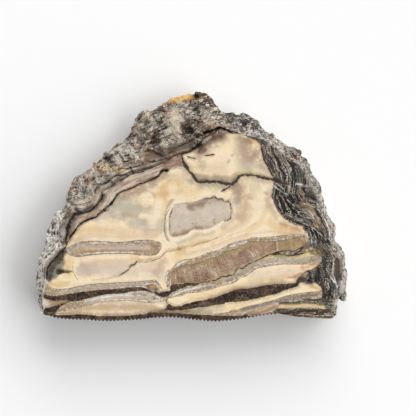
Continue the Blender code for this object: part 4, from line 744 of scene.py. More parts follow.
# Small marks over everything else
spots = (
    ("black", 0.45, 1.5, 1.4, ((43.6, -12.6), (44.2, -16), (43.4, -20), (41.6, -23.4))),
    ("black", 0.6, 1.1, 1, ((36.8, -24.8), (39, -24.9), (41.4, -24.8))),
    ("black", 0.4, 0.9, 1, ((43.4, -26.6), (44.2, -30), (44.2, -32.6))),
    ("rust", 0.5, 0.25, 0.4, ((32, -24.2), (34.6, -23.9), (37.4, -22.9))),
    ("rust", 0.6, 0.35, 0.6, ((-35.2, -28.5), (-33.8, -28.4))),
    ("rust", 0.5, 0.35, 0.6, ((-29.6, -28.1), (-28.4, -27.9))),
    ("umber", 0.9, 0.6, 0.5, ((-15, -27.3), (-13.4, -27.4), (-12.2, -28.3))),
    ("gold", 0.4, 0.3, 0.5, ((-14, -27.1), (-13, -27.3))),
    ("umber", 0.6, 0.5, 0.5, ((-19.6, -29.4), (-16.4, -29.7))),
    ("amber", 0.78, 1, 0.7, ((-7.6, 35.9), (-4.4, 36.3), (-1.2, 36.9))),
    ("orange", 0.55, 0.4, 0.8, ((-8.4, 34.9), (-6, 35.2), (-3.4, 35.5), (0.2, 36.2))),
    ("greyBeige", 0.5, 1.9, 2.4, ((-6.4, 30.6), (-6.2, 27.6), (-5.6, 24.6))),
    ("gapGreen", 0.3, 0.8, 1.4, ((-6, 23.6), (-5, 22))),
    ("soot", 0.85, 1.7, 1.8, ((-13, 16.8), (-9, 17.8), (-5, 19.4), (-1.6, 20.8))),
    # Painted shade: dark grey along the crack at the left end
    ("darkGrey", 0.55, 1.1, 0.9, ((-48.2, -24.2), (-47.6, -21.6), (-45.8, -19), (-44.4, -17.2),
                                  (-43.4, -15.6))),
    ("umber", 0.55, 0.8, 1.2, ((2.4, 25.6), (5, 25.9), (8, 26.8))),
    ("mauve", 0.5, 0.8, 1, ((3.4, 27.6), (6.6, 27.4))),
    ("sandGrey", 0.4, 0.5, 0.8, ((9.8, 27.4), (12, 26.6))),
    ("roseBrown", 0.5, 1.1, 1.6, ((-9, 15.6), (-5.4, 17.4), (-3, 18.2))),
    ("pink", 0.5, 0.5, 0.8, ((3.6, 21.2), (5.4, 22.6))),
    ("pink", 0.45, 0.4, 0.6, ((14, -36.2), (20, -34.9), (24, -33.7), (28, -32.4))),
    ("enamelPale", 0.5, 0.6, 0.8, ((-34, -32), (-28, -30.9), (-20, -30.6), (-14, -31.1))),
    ("tan", 0.6, 1, 1.4, ((-38, -34.8), (-30, -34), (-20, -34), (-12, -34.6))),
    # Painted highlight: a white line on the lip of the second crack
    ("white", 0.6, 0.16, 0.3, ((-28.9, -0.6), (-27.6, 1.2), (-26.4, 3), (-25.2, 4.2), (-22, 5.4))),
    ("pit", 0.6, 0.7, 0.8, ((34.8, 18.7), (36, 17.6))),
    # Painted shade: pit colour over the large pit at the top
    ("pit", 0.25, 1.5, 2, ((-2, 25.4), (-0.6, 22.8), (1.4, 21.2))),
    ("pink", 0.4, 1.3, 1.4, ((-39.4, 0.8), (-36, 1), (-33, 3))),
    ("pink", 0.35, 0.5, 0.8, ((-34, -32), (-28, -30.9), (-20, -30.6), (-14, -31.1))),
    ("olive", 0.55, 0.8, 0.8, ((38.6, -14.4), (40, -15.2), (42, -16))),
    ("orangeBrown", 0.6, 0.3, 0.5, ((-20, -29.2), (-17, -29.3))),
    ("orange", 0.5, 0.35, 0.5, ((-14.2, -27.3), (-13, -27.5))),
    ("roseBrown", 0.45, 1.2, 1.8, ((-17.4, 13.6), (-13, 15.6))),
    # Painted shade: pit colour along the crack at the left end
    ("pit", 0.6, 0.7, 0.9, ((-43.8, -15.2), (-45.6, -16.8), (-47.8, -19), (-49.2, -21.4), (-49.4, -23.6))),
    # Painted shade along the island's top-left edge
    ("darkBrown", 0.28, 0.6, 1.2, ((1, 18.4), (3.4, 21.2), (6.4, 23.2), (9, 24))),
    ("orangeBrown", 0.3, 0.5, 1, ((6, 23.2), (9.4, 24))),
    ("sand", 0.8, 0.55, 0.5, ((28.8, -33.7), (33, -33.8), (37, -33.5), (41, -33.7), (43.4, -34))),
    ("darkBrown", 0.6, 0.5, 0.6, ((28, -35.2), (34, -35.2), (40, -35.4), (45, -35.4))),
    ("darkBrown", 0.9, 1.05, 0.5, ((48, -18.6), (48.4, -21), (48.1, -24.6))),
    ("slate", 0.5, 0.3, 0.6, ((47.9, -19), (48, -21.4), (47.9, -24))),
    ("black", 0.7, 0.25, 0.4, ((49.5, -18), (49.9, -21), (49.3, -24.8))),
    ("tan", 0.6, 0.3, 0.5, ((38.2, 0.4), (40.6, -2.6), (42, -6))),
    ("gapGreen", 0.7, 0.6, 0.6, ((37.4, -1.6), (38.8, -3))),
    ("yellowGreen", 0.6, 0.2, 0.3, ((3, -26.2), (6, -25.7), (9, -24.8), (12, -24), (15, -21.6),
                                      (18, -20.4), (21, -19), (24, -17.4), (27, -16.5))),
    ("gold", 0.7, 0.16, 0.3, ((5, -25.2), (9, -23.9), (13, -23), (16, -20.6), (20, -18.8), (25, -16.2),
                             (28, -15.3), (33, -15.1), (36.6, -13.6))),
    ("roseBrown", 0.8, 0.7, 0.7, ((18.6, -36.2), (22.6, -35.7), (25.6, -34.7), (27.7, -33.8))),
    ("orangeBrown", 0.55, 0.35, 0.6, ((19.6, -36.1), (22.6, -35.8), (25.6, -34.7), (27.7, -33.8))),
    ("oliveGold", 0.45, 0.7, 1, ((3, -19.6), (7, -18.2), (10, -17), (13, -15.5), (17, -14.2), (22, -13))),
    ("oliveGold", 0.5, 1.1, 1.6, ((28.6, -13.6), (32, -13), (36, -12.6))),
    ("orangeBrown", 0.7, 0.25, 0.5, ((35.6, -11.4), (36.8, -12.6), (36.6, -13.6))),
    ("roseBrown", 0.85, 1.1, 1.4, ((-1, -0.6), (1.5, -0.2), (3.6, 0.8))),
    ("rust", 0.3, 0.5, 0.9, ((0, 0.4), (2.4, 1))),
    ("roseBrown", 0.5, 0.5, 1, ((-5.6, -9.4), (-2, -8.6), (1.6, -7.4), (5, -7.2))),
    ("rust", 0.5, 0.35, 0.7, ((-7, -10), (-4, -9.8), (-2, -9), (-1, -8.4))),
    ("pink", 0.6, 1.2, 2, ((8, -2), (10.6, -1.6))),
    ("pink", 0.5, 0.5, 1, ((1, -0.8), (1.6, -1))),
    ("roseBrown", 0.7, 0.4, 0.8, ((-6.6, -10), (-4, -9.7), (-2, -9.1), (-0.5, -7.9), (1, -7.6), (3, -7.8))),
    ("mauve", 0.5, 0.6, 1.2, ((3, 1.2), (6, 1.6), (9, 1.4))),
    ("stone", 0.6, 0.3, 0.4, ((16.3, -30.4), (16.7, -30.2))),
    ("stone", 0.7, 0.14, 0.3, ((0.4, -33.4), (1.6, -33.1))),
    ("stone", 0.7, 0.14, 0.3, ((3, -32.9), (4.4, -32.6))),
    ("crest", 0.9, 0.28, 0.3, ((29.5, -16), (29.8, -16))),
    ("crest", 0.9, 0.34, 0.3, ((31.3, -16.2), (31.6, -16.1))),
    ("crest", 0.9, 0.28, 0.3, ((33.1, -16), (33.4, -16))),
    ("crest", 0.9, 0.34, 0.3, ((34.8, -15.8), (35.1, -15.7))),
    ("crest", 0.9, 0.3, 0.3, ((36.3, -15.1), (36.6, -15))),
    ("crest", 0.9, 0.34, 0.3, ((37.9, -15.2), (38.2, -15.1))),
    ("crest", 0.8, 0.2, 0.3, ((39.4, -14.6), (39.6, -14.4))),
    ("crest", 0.7, 0.2, 0.3, ((40.4, -15.8), (40.7, -15.8))),
    ("white", 0.6, 0.25, 0.4, ((-7, -30.3), (-5, -29.3), (-2.4, -28.4), (0, -27.9), (3, -27.2))),
    ("white", 0.45, 0.3, 0.4, ((-36, -32), (-30, -30.6), (-24, -30), (-18, -29.2), (-13, -29.9))),
    ("enamelPale", 0.6, 0.7, 0.8, ((-40.6, -15.2), (-38.6, -14.2), (-37.8, -13.2))),
    ("stripGrey", 0.5, 0.5, 0.6, ((-41, -14.4), (-39.6, -15.8))),
    ("slate", 0.6, 0.3, 0.5, ((2, -33.1), (5, -32.7))),
    ("yellowGreen", 0.8, 0.26, 0.3, ((21, -18.5), (24, -17.6), (26, -17.1), (30, -16.9), (34, -17.3),
                                     (36, -17.2), (38, -16.6))),
    ("rust", 0.5, 0.16, 0.4, ((-37, -13.9), (-33, -13.8), (-29, -14), (-24, -14.3))),
    ("gold", 0.6, 0.3, 0.5, ((-39.4, -15.6), (-36, -14.8), (-31, -14.8))),
    ("rust", 0.4, 0.16, 0.4, ((-36, -15.5), (-29, -15), (-22, -14.9), (-15, -15.1))),
    ("lilac", 0.5, 0.3, 0.5, ((-28, -14.5), (-20, -14.7), (-14, -13.9))),
    ("slate", 0.5, 0.6, 0.8, ((16, -35.2), (20, -34), (26, -32.5), (34, -30.8), (42, -29.6))),
    ("enamelPale", 0.45, 0.9, 1, ((10, -24.4), (16, -21.4), (22, -19), (28, -18.4), (38, -18.2))),
    ("enamelPale", 0.4, 0.7, 1, ((-44, -29), (-36, -27.6), (-26, -27), (-18, -26.4))),
    ("pink", 0.55, 0.7, 1, ((-37, -14), (-30, -14.2), (-22, -14.2), (-15, -14.2))),
)


def arcLength(line):
    # How far along a line each of its points lies
    return np.append(0, np.cumsum(np.linalg.norm(np.diff(line, axis=0), axis=1)))


def curve(points, step, closed=False):
    # A smooth line through the given points, resampled at even steps
    points = np.array(points, float)
    if closed:
        padded = np.vstack([points[-1:], points, points[:2]])
    else:
        padded = np.vstack([2 * points[0] - points[1], points, 2 * points[-1] - points[-2]])
    dense = []
    for before, start, end, after in zip(padded, padded[1:], padded[2:], padded[3:]):
        count = max(2, math.ceil(np.linalg.norm(end - start) / denseStep))
        t = np.linspace(0, 1, count, endpoint=False)[:, None]
        bend = 2 * before - 5 * start + 4 * end - after
        twist = 3 * start - before - 3 * end + after
        dense.append(start + 0.5 * t * (end - before + t * (bend + t * twist)))
    dense = np.vstack(dense + [points[:1] if closed else points[-1:]])
    reach = arcLength(dense)
    at = np.linspace(0, reach[-1], max(2, round(reach[-1] / step)) + 1)
    return np.column_stack([np.interp(at, reach, dense[:, k]) for k in (0, 1)])


def outward(line, closed=False):
    # Unit normals on the left of a line, which is outside where the line runs clockwise
    if closed:
        along = np.roll(line, -1, axis=0) - np.roll(line, 1, axis=0)
    else:
        along = np.gradient(line, axis=0)
    along = along / np.maximum(np.linalg.norm(along, axis=1), tiny)[:, None]
    return np.column_stack([-along[:, 1], along[:, 0]])


def scalloped(line, height):
    # A closed line with a row of small scallops on it
    size, shift = tooth["scallopWobble"]
    wobble = np.array([noise.noise(Vector((x, y, 0)) / size) for x, y in line])
    turn = math.pi * arcLength(line) / tooth["scallopPitch"]
    rise = height * (np.abs(np.sin(turn + shift * wobble)) - tooth["scallopLevel"]) * (1 + wobble)
    return line + outward(line) * rise[:, None]


def smooth(share):
    share = np.clip(share, 0, 1)
    return share * share * (3 - 2 * share)


def partsNear(line, points, reach, size):
    # The points within reach of a line's box, in parts small enough to compare with every edge
    near = ((points > line.min(0) - reach) & (points < line.max(0) + reach)).all(1)
    return np.array_split(np.flatnonzero(near), near.sum() // size + 1)


def distanceTo(line, points, reach, alongToo=False):
    # Shortest distance to a line, up to a reach, and how far along the line its foot lies
    start, run = line[:-1], np.diff(line, axis=0)
    length = np.maximum((run**2).sum(1), tinySquare)
    arc = np.append(0, np.cumsum(np.sqrt(length)))
    apart = np.full(len(points), float(reach))
    along = np.zeros(len(points))
    for part in partsNear(line, points, reach, 3000):
        offset = points[part, None] - start
        share = np.clip((offset * run).sum(2) / length, 0, 1)
        gap = np.linalg.norm(offset - share[..., None] * run, axis=2)
        nearest = gap.argmin(1)
        row = np.arange(len(part))
        apart[part] = np.minimum(gap[row, nearest], reach)
        along[part] = arc[nearest] + share[row, nearest] * np.sqrt(length[nearest])
    return (apart, along) if alongToo else apart


def inside(loop, points):
    # Whether each point lies in a closed line, by counting the edges to its right
    found = np.zeros(len(points), bool)
    start, end = loop[:-1], loop[1:]
    rise = end[:, 1] - start[:, 1]
    slope = (end[:, 0] - start[:, 0]) / np.where(rise == 0, tiny, rise)
    for part in partsNear(loop, points, 0, 5000):
        x, y = points[part, :1], points[part, 1:]
        spans = (start[:, 1] > y) != (end[:, 1] > y)
        found[part] = (spans & (x < start[:, 0] + (y - start[:, 1]) * slope)).sum(1) % 2 == 1
    return found


def depthIn(loop, points, reach):
    # Distance to the edge of a region, above zero inside it and below zero outside
    apart = distanceTo(loop, points, reach)
    return np.where(inside(loop, points), apart, -apart)


def scaled(points, size, shift):
    # Places counted in lumps of a size, moved up by a shift so that each seed has its own pattern
    height = points[:, 2] if points.shape[1] == 3 else np.zeros(len(points))
    return np.column_stack([points[:, 0], points[:, 1], height]) / size + (0, 0, shift)


def noiseAt(points, size, seed=0):
    # Smooth noise, with size the width of its lumps in millimetres
    return np.array([noise.noise(place) for place in scaled(points, size, 7.3 * seed)])


def cellsAt(points, size, seed):
    # Rounded grains: one at the middle of a grain, falling to zero where grains meet
    nearest = np.array([noise.voronoi(place)[0][:2] for place in scaled(points, size, 5.1 * seed)])
    return np.clip((nearest[:, 1] - nearest[:, 0]) * 2.2, 0, 1)


def flutedLine():
    # The foot of the enamel, with its flutes set off square to the line
    line = curve(flutedEdge, tooth["fluteStep"])
    reach = arcLength(line)
    count = round(reach[-1] / tooth["flutePitch"])
    rise = np.abs(np.sin(math.pi * count * reach / reach[-1])) - tooth["fluteLevel"]
    size, share = tooth["fluteUneven"]
    uneven = 1 + share * noiseAt(line, size, seeds["flutes"])
    return line + outward(line) * (tooth["fluteDepth"] * rise * uneven)[:, None]


def roughRim():
    # The bark's rim with fine crags, which fade towards its ends
    line = curve(barkRim, tooth["outlineStep"])
    (broad, broadRise), (fine, fineRise) = tooth["rimCrags"]
    rise = broadRise * noiseAt(line, broad, seeds["rim"]) + fineRise * noiseAt(line, fine, seeds["rim"] + 1)
    fromEnd = np.minimum(np.arange(len(line)), np.arange(len(line))[::-1])
    rise = (rise - tooth["rimInset"]) * smooth(fromEnd / tooth["rimFade"])
    return line + outward(line) * rise[:, None]


middle = np.array(barkRim, float).max(0) - np.array(cadBox[1][:2]) * perMetre   # what centres the plan
bark = roughRim()
plain = curve(plainEdge, tooth["outlineStep"])
flutes = flutedLine()
rim = np.vstack([bark[:-1], plain[:-1], flutes[:-1]])
closedRim = np.vstack([rim, rim[:1]])
border = curve(polishedBorder, tooth["edgeStep"])
# The border closed well outside the fluted edge, which the polish reaches
polishedLoop = np.vstack([border, ((60, -36.5), (60, -50), (-60, -50), (-60, -35.5)), border[:1]])


def closedCurves(loops, step):
    return [curve(loop, step, True) for loop in loops]


regions = {
    "enamel": [scalloped(curve(loop, tooth["enamelStep"], True), height) for height, loop in enamelBands]
    + closedCurves([thinLoop], tooth["lineStep"]),
    "dark": closedCurves(darkBands, tooth["edgeStep"]),
    "core": closedCurves([bigLoopCore], tooth["edgeStep"]) + closedCurves([thinLoopCore], tooth["lineStep"]),
    "ovoid": closedCurves([ovoidCore], tooth["lineStep"]),
    "sliver": closedCurves([sliverZone], tooth["edgeStep"]),
    "strip": closedCurves([strip["loop"]], tooth["edgeStep"]),
}
lines = {
    name: [(width, curve(line, tooth["lineStep"])) for width, line in group]
    for name, group in (("darkLine", darkLines), ("brownLine", brownLines), ("paleLine", paleLines))
}
print("edges drawn")


def nearRim():
    # A search tree of the rim, with points close enough together to measure from
    dense = curve(closedRim, tooth["rimStep"])
    tree = kdtree.KDTree(len(dense))
    for i, (x, y) in enumerate(dense):
        tree.insert((x, y, 0), i)
    tree.balance()
    return tree


rimTree = nearRim()


def fromRim(points):
    # How far inside the rim each point lies
    return np.array([rimTree.find((x, y, 0))[2] for x, y in points])


class Spread:
    # Corners kept at least a gap apart, found again through a grid of cells
    def __init__(self, cell):
        self.cell = cell
        self.points = []
        self.cells = {}

    def add(self, points, gap):
        for x, y in points:
            column, row = math.floor(x / self.cell), math.floor(y / self.cell)
            around = [self.cells.get((column + i, row + j), ()) for i in (-1, 0, 1) for j in (-1, 0, 1)]
            if all((x - a) ** 2 + (y - b) ** 2 >= gap * gap for cell in around for a, b in cell):
                self.points.append((x, y))
                self.cells.setdefault((column, row), []).append((x, y))


def scattered(step, rng):
    # A loose triangular grid over the whole slice
    reach, rowHeight, looseness = 56, 0.866, 0.2
    points = []
    for row in range(round(2 * reach / (step * rowHeight))):
        for column in range(round(2 * reach / step)):
            x = -reach + (column + 0.5 * (row % 2) + rng.uniform(-looseness, looseness)) * step
            points.append((x, -reach + (row * rowHeight + rng.uniform(-looseness, looseness)) * step))
    return np.array(points)


def allEdges():
    # Every edge and line on the plan, so that the mesh has corners along them
    edges = [loop for loops in regions.values() for loop in loops]
    edges += [line for group in lines.values() for _, line in group]
    return np.vstack(edges)


def planOf(ring, faceStep, barkStep, edgeGap):
    # Corners and triangles of a face: its ring, the edges of the bands, then a loose grid
    rng = random.Random(tooth["seed"])
    spread = Spread(max(faceStep, barkStep))
    spread.add(ring, 0)
    loop = np.vstack([ring, ring[:1]])
    closest = 0.6   # corners may come as close as this share of their step
    wanted = [(border, edgeGap), (allEdges(), edgeGap)]
    grid = scattered(barkStep, rng)
    wanted.append((grid[~inside(polishedLoop, grid)], closest * barkStep))
    grid = scattered(faceStep, rng)
    wanted.append((grid[inside(polishedLoop, grid)], closest * faceStep))
    for points, gap in wanted:
        points = points[inside(loop, points)]
        spread.add(points[distanceTo(loop, points, 1) > closest * edgeGap], gap)
    corners = [Vector(point) for point in spread.points]
    edges = [(i, (i + 1) % len(ring)) for i in range(len(ring))]
    corners, _, faces, came, *_ = delaunay_2d_cdt(corners, edges, [], 1, 1e-6)
    place = {old: new for new, olds in enumerate(came) for old in olds}
    order = [place[i] for i in range(len(ring))]
    return np.array([tuple(corner) for corner in corners]), np.array(faces), np.array(order)


def rimDrop(points):
    # Depth of the rim below the polish, blended from the places where it is set
    places = np.array(rimDrops, float)
    weight = 1 / (np.linalg.norm(points[:, None] - places[:, :2], axis=2) ** 2 + 1) ** 1.5
    return (weight * places[:, 2]).sum(1) / weight.sum(1)


def lumpsAt(points):
    # The bark's coarse roughness in millimetres
    return sum(rise * noiseAt(points, size) for size, rise in tooth["lumps"])


def crags(points, seed):
    # Fine roughness of the bark in millimetres, and the same from -1 in pits to 1 on grains
    (broad, broadRise), (fine, fineRise), (wide, grainRise) = tooth["crags"]
    big = noiseAt(points, broad, seed)
    small = noiseAt(points, fine, seed + 1)
    grains = cellsAt(points, wide, seed) - tooth["grainLevel"]
    height = broadRise * big + fineRise * small + grainRise * grains
    return height, np.clip(0.9 * big + 0.8 * small + 0.9 * grains, -1, 1)


def topSurface(points):
    # Height of the top face, how deep in the bark a point lies, and the bark's grain
    count = len(points)
    barky = ~inside(polishedLoop, points)
    fromFace, arc = distanceTo(border, points, tooth["barkReach"], True)
    height, grain = np.zeros(count), np.zeros(count)
    on = points[barky]
    apart = fromFace[barky]
    share = apart / (apart + fromRim(on) + tiny)
    rough = lumpsAt(on)
    bends = tooth["layerBend"] * noiseAt(on, tooth["layerWaves"])
    rough += tooth["layerLedge"] * (0.5 - (apart / tooth["layer"] + bends) % 1)
    rough *= smooth(apart / tooth["lumpsFrom"]) * (1 - tooth["rimCalm"] * share)
    fine, grain[barky] = crags(on, seeds["bark"])
    fine *= smooth(apart / tooth["cragsFrom"]) * (0.75 + 0.5 * noiseAt(on, 5, seeds["cragPatches"]))
    step = tooth["ledge"] * smooth(apart / tooth["ledgeWidth"])
    height[barky] = rough + fine - step - (rimDrop(on) - tooth["ledge"]) * share ** tooth["slopeBend"]
    sunk = smooth((strip["end"] - points[:, 0]) / strip["fade"])
    stripLoop = curve(strip["loop"], 0.5, True)
    height -= strip["depth"] * sunk * smooth(depthIn(stripLoop, points, 1) / strip["edge"])
    for x, y, radius, rise in knobs:
        height += rise * smooth(1.3 - np.linalg.norm(points - (x, y), axis=1) / radius)
    unevenSize, uneven = tooth["crackUneven"]
    for line, halfWidth, depth in cracks:
        apart = distanceTo(curve(line, 0.4), points, 3)
        apart = apart + uneven * noiseAt(points, unevenSize, seeds["cracks"])
        height -= depth * smooth(1.15 - apart / halfWidth)
    flow = np.column_stack([arc, fromFace])
    depth = np.where(barky, fromFace, -fromFace)
    return np.minimum(tooth["thickness"] + height, tooth["thickness"]), depth, grain, flow


def evened(ring, width):
    # A closed ring of points, each the mean of its neighbours over a width
    steps = np.minimum(np.arange(len(ring)), np.arange(len(ring))[::-1] + 1)
    window = np.exp(-0.5 * (steps / width) ** 2)
    spectrum = np.fft.rfft(window / window.sum())
    return np.fft.irfft(np.fft.rfft(ring, axis=0) * spectrum[:, None], len(ring), axis=0)


def wallRings(top):
    # Rings of the wall from just under the rim down to the underside, and the grain on them
    away = outward(evened(rim, 6), True)
    fluted = smooth(1 - distanceTo(np.vstack([plain, flutes]), rim, 4) / tooth["fluteBlend"])
    rows = tooth["wallRows"]
    least, most = tooth["wallEvening"]
    rings, grains = [], []
    for row in range(1, rows + 1):
        share = 1 - row / rows
        softened = evened(rim, least + most * (1 - share) if row > 1 else least)
        ring = softened * (1 - fluted[:, None]) + rim * fluted[:, None]
        places = np.column_stack([ring, top * share])
        fine, grain = crags(places, seeds["wall"])
        rough = tooth["wallLumps"] * lumpsAt(places) + fine
        rough *= (1 - fluted) * (1 - share**4)
        draw = tooth["undercut"] * (1 - fluted) + tooth["fluteDraw"] * fluted
        draw = draw * (1 - share) ** tooth["undercutBend"]
        ring = ring + away * np.minimum(rough - draw, 0)[:, None]
        rings.append(np.column_stack([ring, top * share]))
        grains.append(grain)
    return rings, grains, fluted


def washed(points, strokes):
    # Colour laid over the surface by soft strokes, already weighed by how much it covers
    (broad, broadShare), (fine, fineShare) = tooth["strokeUneven"]
    wobble = broadShare * noiseAt(points, broad, seeds["strokes"])
    wobble += fineShare * noiseAt(points, fine, seeds["strokes"] + 1)
    laid = np.zeros((len(points), 3))
    cover = np.zeros(len(points))
    for name, strength, halfWidth, softness, line in strokes:
        path = curve(line, tooth["strokeStep"])
        apart = distanceTo(path, points, halfWidth + 1.5 * softness) + wobble * softness
        share = strength * smooth(0.5 + (halfWidth - apart) / softness)
        laid = laid * (1 - share[:, None]) + np.array(colour(name)[:3]) * share[:, None]
        cover = cover * (1 - share) + share
    return laid, cover


def lineStrength(group, points):
    # One on a thin line, zero at its half width and below that beside it; its ends taper
    found = np.full(len(points), farFromLine)
    uneven, swell = noiseAt(points, 0.9, seeds["lines"]), noiseAt(points, 2.2, seeds["lines"] + 1)
    for halfWidth, line in group:
        apart, along = distanceTo(line, points, 5 * halfWidth, True)
        length = np.linalg.norm(np.diff(line, axis=0), axis=1).sum()
        taper = 0.35 + 0.65 * smooth(np.minimum(along, length - along) / (0.1 * length))
        apart = apart + 0.1 * uneven
        found = np.maximum(found, 1 - apart / (halfWidth * taper * (1 + 0.4 * swell)))
    return found


def markings(points):
    # Everything that the material needs to know about a place on a cut face
    found = {}
    for name, loops in regions.items():
        depths = [depthIn(loop, points, farFromRegion) for loop in loops]
        found[name] = np.maximum(np.max(depths, axis=0), -farFromRegion)
    for name, group in lines.items():
        found[name] = lineStrength(group, points)

    # Which way the grain runs: along the nearest band, or along a guide
    edges = [np.abs(found[name]) for name in ("enamel", "dark", "core", "ovoid")]
    edges += [distanceTo(curve(line, 0.5), points, farFromRegion) for line, *_ in cracks[:2]]
    flow = np.column_stack([points[:, 0], np.min(edges, axis=0)])
    x, y = points.T
    slivers = found["sliver"] > 0
    guide = curve(sliverGuide + sliverGuideEnd, tooth["strokeStep"])
    apart, along = distanceTo(guide, points, 30, True)
    flow = np.where(slivers[:, None], np.column_stack([along, apart]), flow)
    flow = np.where((slivers & (y < lowSliversTop))[:, None], points, flow)
    inLoop = found["core"] > -0.4
    flow = np.where((inLoop & (x < thinLoopEnd))[:, None], points[:, ::-1] * (1.7, 1), flow)
    apart, along = distanceTo(curve(bigLoopAxis, tooth["strokeStep"]), points, 12, True)
    flow = np.where((inLoop & (apart < 6))[:, None], np.column_stack([along, apart]), flow)
    found["flow"] = flow
    found["wash"], found["washCover"] = washed(points, washes)
    found["spot"], found["spotCover"] = washed(points, spots)
    return found


studio = {
    "floor": 0.95,
    "floorSize": 6,          # metres
    "floorDrop": 0.00005,    # keeps the floor just clear of the underside
    "level": 1.055,          # how bright a white surface comes out
    "gloss": 0.013,          # and how much of it the polish adds to a dark one
    "fill": 0.28,            # how much of the light comes from all round
    "suns": ((-10, 2.75), (68, 2.75)),     # turn from the right towards the top, and power
    "sunHeight": 25,
    "sunWidth": 74,
    "lens": 180,
    "sensor": 36,
    "frameWidth": 416 / 3,   # the picture's width on the polished face, in millimetres
    "aim": (5.0, -1.0),      # what the picture's middle looks at, on the plan
}


def colour(name):
    # A colour of the palette as the light gives it back, so that it comes out as it is written
    seen = [value / 255 for value in palette[name]]
    linear = [value / 12.92 if value < 0.04045 else ((value + 0.055) / 1.055) ** 2.4 for value in seen]
    return tuple(max(value - studio["gloss"], 0.004) / studio["level"] for value in linear) + (1.0,)


class Wire:
    # One output of a node. Sums and products of wires become Math nodes.
    def __init__(self, shop, socket):
        self.shop = shop
        self.socket = socket

    def __add__(self, other):
        return self.shop.maths("ADD", self, other)

    def __sub__(self, other):
        return self.shop.maths("SUBTRACT", self, other)

    def __rsub__(self, other):
        return self.shop.maths("SUBTRACT", other, self)

    def __mul__(self, other):
        return self.shop.maths("MULTIPLY", self, other)

    def larger(self, other):
        return self.shop.maths("MAXIMUM", self, other)

    def smaller(self, other):
        return self.shop.maths("MINIMUM", self, other)

    def between(self, low, high):
        # Zero below low, one above high, and smooth from one to the other
        sockets = {0: self, 1: low, 2: high}
        return self.shop.make("ShaderNodeMapRange", {"interpolation_type": "SMOOTHSTEP"}, sockets)

    __radd__ = __add__
    __rmul__ = __mul__


class Shop:
    # Makes the nodes of one material
    def __init__(self, tree):
        self.tree = tree

    def make(self, kind, settings=None, sockets=None, output=0):
        node = self.tree.nodes.new(kind)
        for name, value in (settings or {}).items():
            if name == "stops":
                self.setStops(node.color_ramp, value)
            else:
                setattr(node, name, value)
        for name, value in (sockets or {}).items():
            if isinstance(value, Wire):
                self.tree.links.new(value.socket, node.inputs[name])
            else:
                node.inputs[name].default_value = value
        return Wire(self, node.outputs[output])

    def setStops(self, ramp, stops):
        for position, name in stops[2:]:
            ramp.elements.new(position)
        for element, (position, name) in zip(ramp.elements, stops):
            element.position = position
            element.color = colour(name)

    def maths(self, operation, first, second):
        return self.make("ShaderNodeMath", {"operation": operation}, {0: first, 1: second})

    def place(self, operation, first, second):
        return self.make("ShaderNodeVectorMath", {"operation": operation}, {0: first, 1: second})

    def axis(self, place, number):
        return self.make("ShaderNodeSeparateXYZ", sockets={0: place}, output=number)

    def mix(self, factor, first, second, blend="MIX"):
        settings = {"data_type": "RGBA", "blend_type": blend}
        return self.make("ShaderNodeMix", settings, {0: factor, 6: first, 7: second}, 2)

    def attribute(self, name, output="Fac"):
        return self.make("ShaderNodeAttribute", {"attribute_name": name}, output=output)

    def noise(self, place, size, detail=3, distortion=0.0, output=0):
        sockets = {"Vector": place, "Scale": 1 / size, "Detail": detail, "Distortion": distortion}
        return self.make("ShaderNodeTexNoise", sockets=sockets, output=output)

    def drawn(self, place, stretch, detail, distortion):
        # Noise drawn out or squeezed along the two axes of a place
        return self.noise(self.place("MULTIPLY", place, (*stretch, 1)), 1, detail, distortion)

    def over(self, below, name, strength=1.0):
        # Lays the washes of an attribute, which are already weighed by their cover
        dimmed = self.mix(self.attribute(name + "Cover") * strength, below, (0, 0, 0, 1))
        return self.mix(strength, dimmed, self.attribute(name, "Color"), "ADD")

    def ramp(self, value, stops):
        return self.make("ShaderNodeValToRGB", {"stops": stops}, {0: value})


# Each finish has its noises (size in millimetres, or how they are drawn out, then detail and
# distortion), the stops of its ramp, and how strongly each layer covers
dentine = {
    "clouds": (7, 5, 0.8),
    "growth": ((0.05, 1.3), 4, 0.5),
    "drift": ((0.09, 0.5), 5, 0.9),
    "grain": (0.6, 3),
    "tones": ((0.35, "sand"), (0.44, "cream"), (0.6, "paleCream")),
    "streaks": 0.22,
    "crystals": 0.15,
    "specks": 0.16,
    # Painted shade beside the dark bands and at the edge of the slivers
    "darkEdgeShade": 0.6,
    "sliverEdgeShade": 0.5,
}


def dentineColour(shop, places):
    # Cream dentine: soft clouds, growth lines along the bands, the washes, and painted shade beside the dark
    # bands and the slivers
    clouds = shop.noise(places["mm"], *dentine["clouds"])
    grain = shop.noise(places["mm"], *dentine["grain"])
    growth = shop.drawn(places["flow"], *dentine["growth"])
    drift = shop.drawn(places["mm"], *dentine["drift"])
    nearBand = 1 - shop.axis(places["flow"], 1).between(1, 4)
    grown = 0.5 + (drift - 0.5) * (1 - shop.axis(places["mm"], 0).between(6, 14) * 0.7)
    grown = grown + (growth - grown) * nearBand
    painted = shop.over(shop.ramp(clouds * 0.6 + grown * 0.4, dentine["tones"]), "wash")
    streaked = shop.mix(grown.between(0.47, 0.68) * dentine["streaks"], painted, colour("tan"))
    crystals = (1 - grown.between(0.34, 0.47)) * dentine["crystals"]
    streaked = shop.mix(crystals, streaked, colour("white"))
    specked = shop.mix(grain.between(0.5, 0.7) * dentine["specks"], streaked, colour("mauve"))
    # Painted shade: dentine darkened towards umber beside the dark bands and at the edge of the slivers
    nearDark = shop.attribute("dark").between(-1.3, 0) * (grain + clouds).between(0.7, 1.05)
    edgeShaded = shop.mix(nearDark * dentine["darkEdgeShade"], specked, colour("umber"))
    nearSlivers = shop.attribute("sliver").between(-0.8, 0) * grain.between(0.35, 0.6)
    return shop.mix(nearSlivers * dentine["sliverEdgeShade"], edgeShaded, colour("umber"))


stripLayers = {
    "layers": ((0.1, 1.9), 4, 0.5),
    "thin": ((0.16, 3.4), 2, 0.4),
    "grain": (0.6, 3),
    "tones": ((0.28, "roseBrown"), (0.35, "stripGrey"), (0.42, "tan"), (0.5, "pink")),
    "darkLayers": 0.7,
    "paleLayers": 0.6,
}


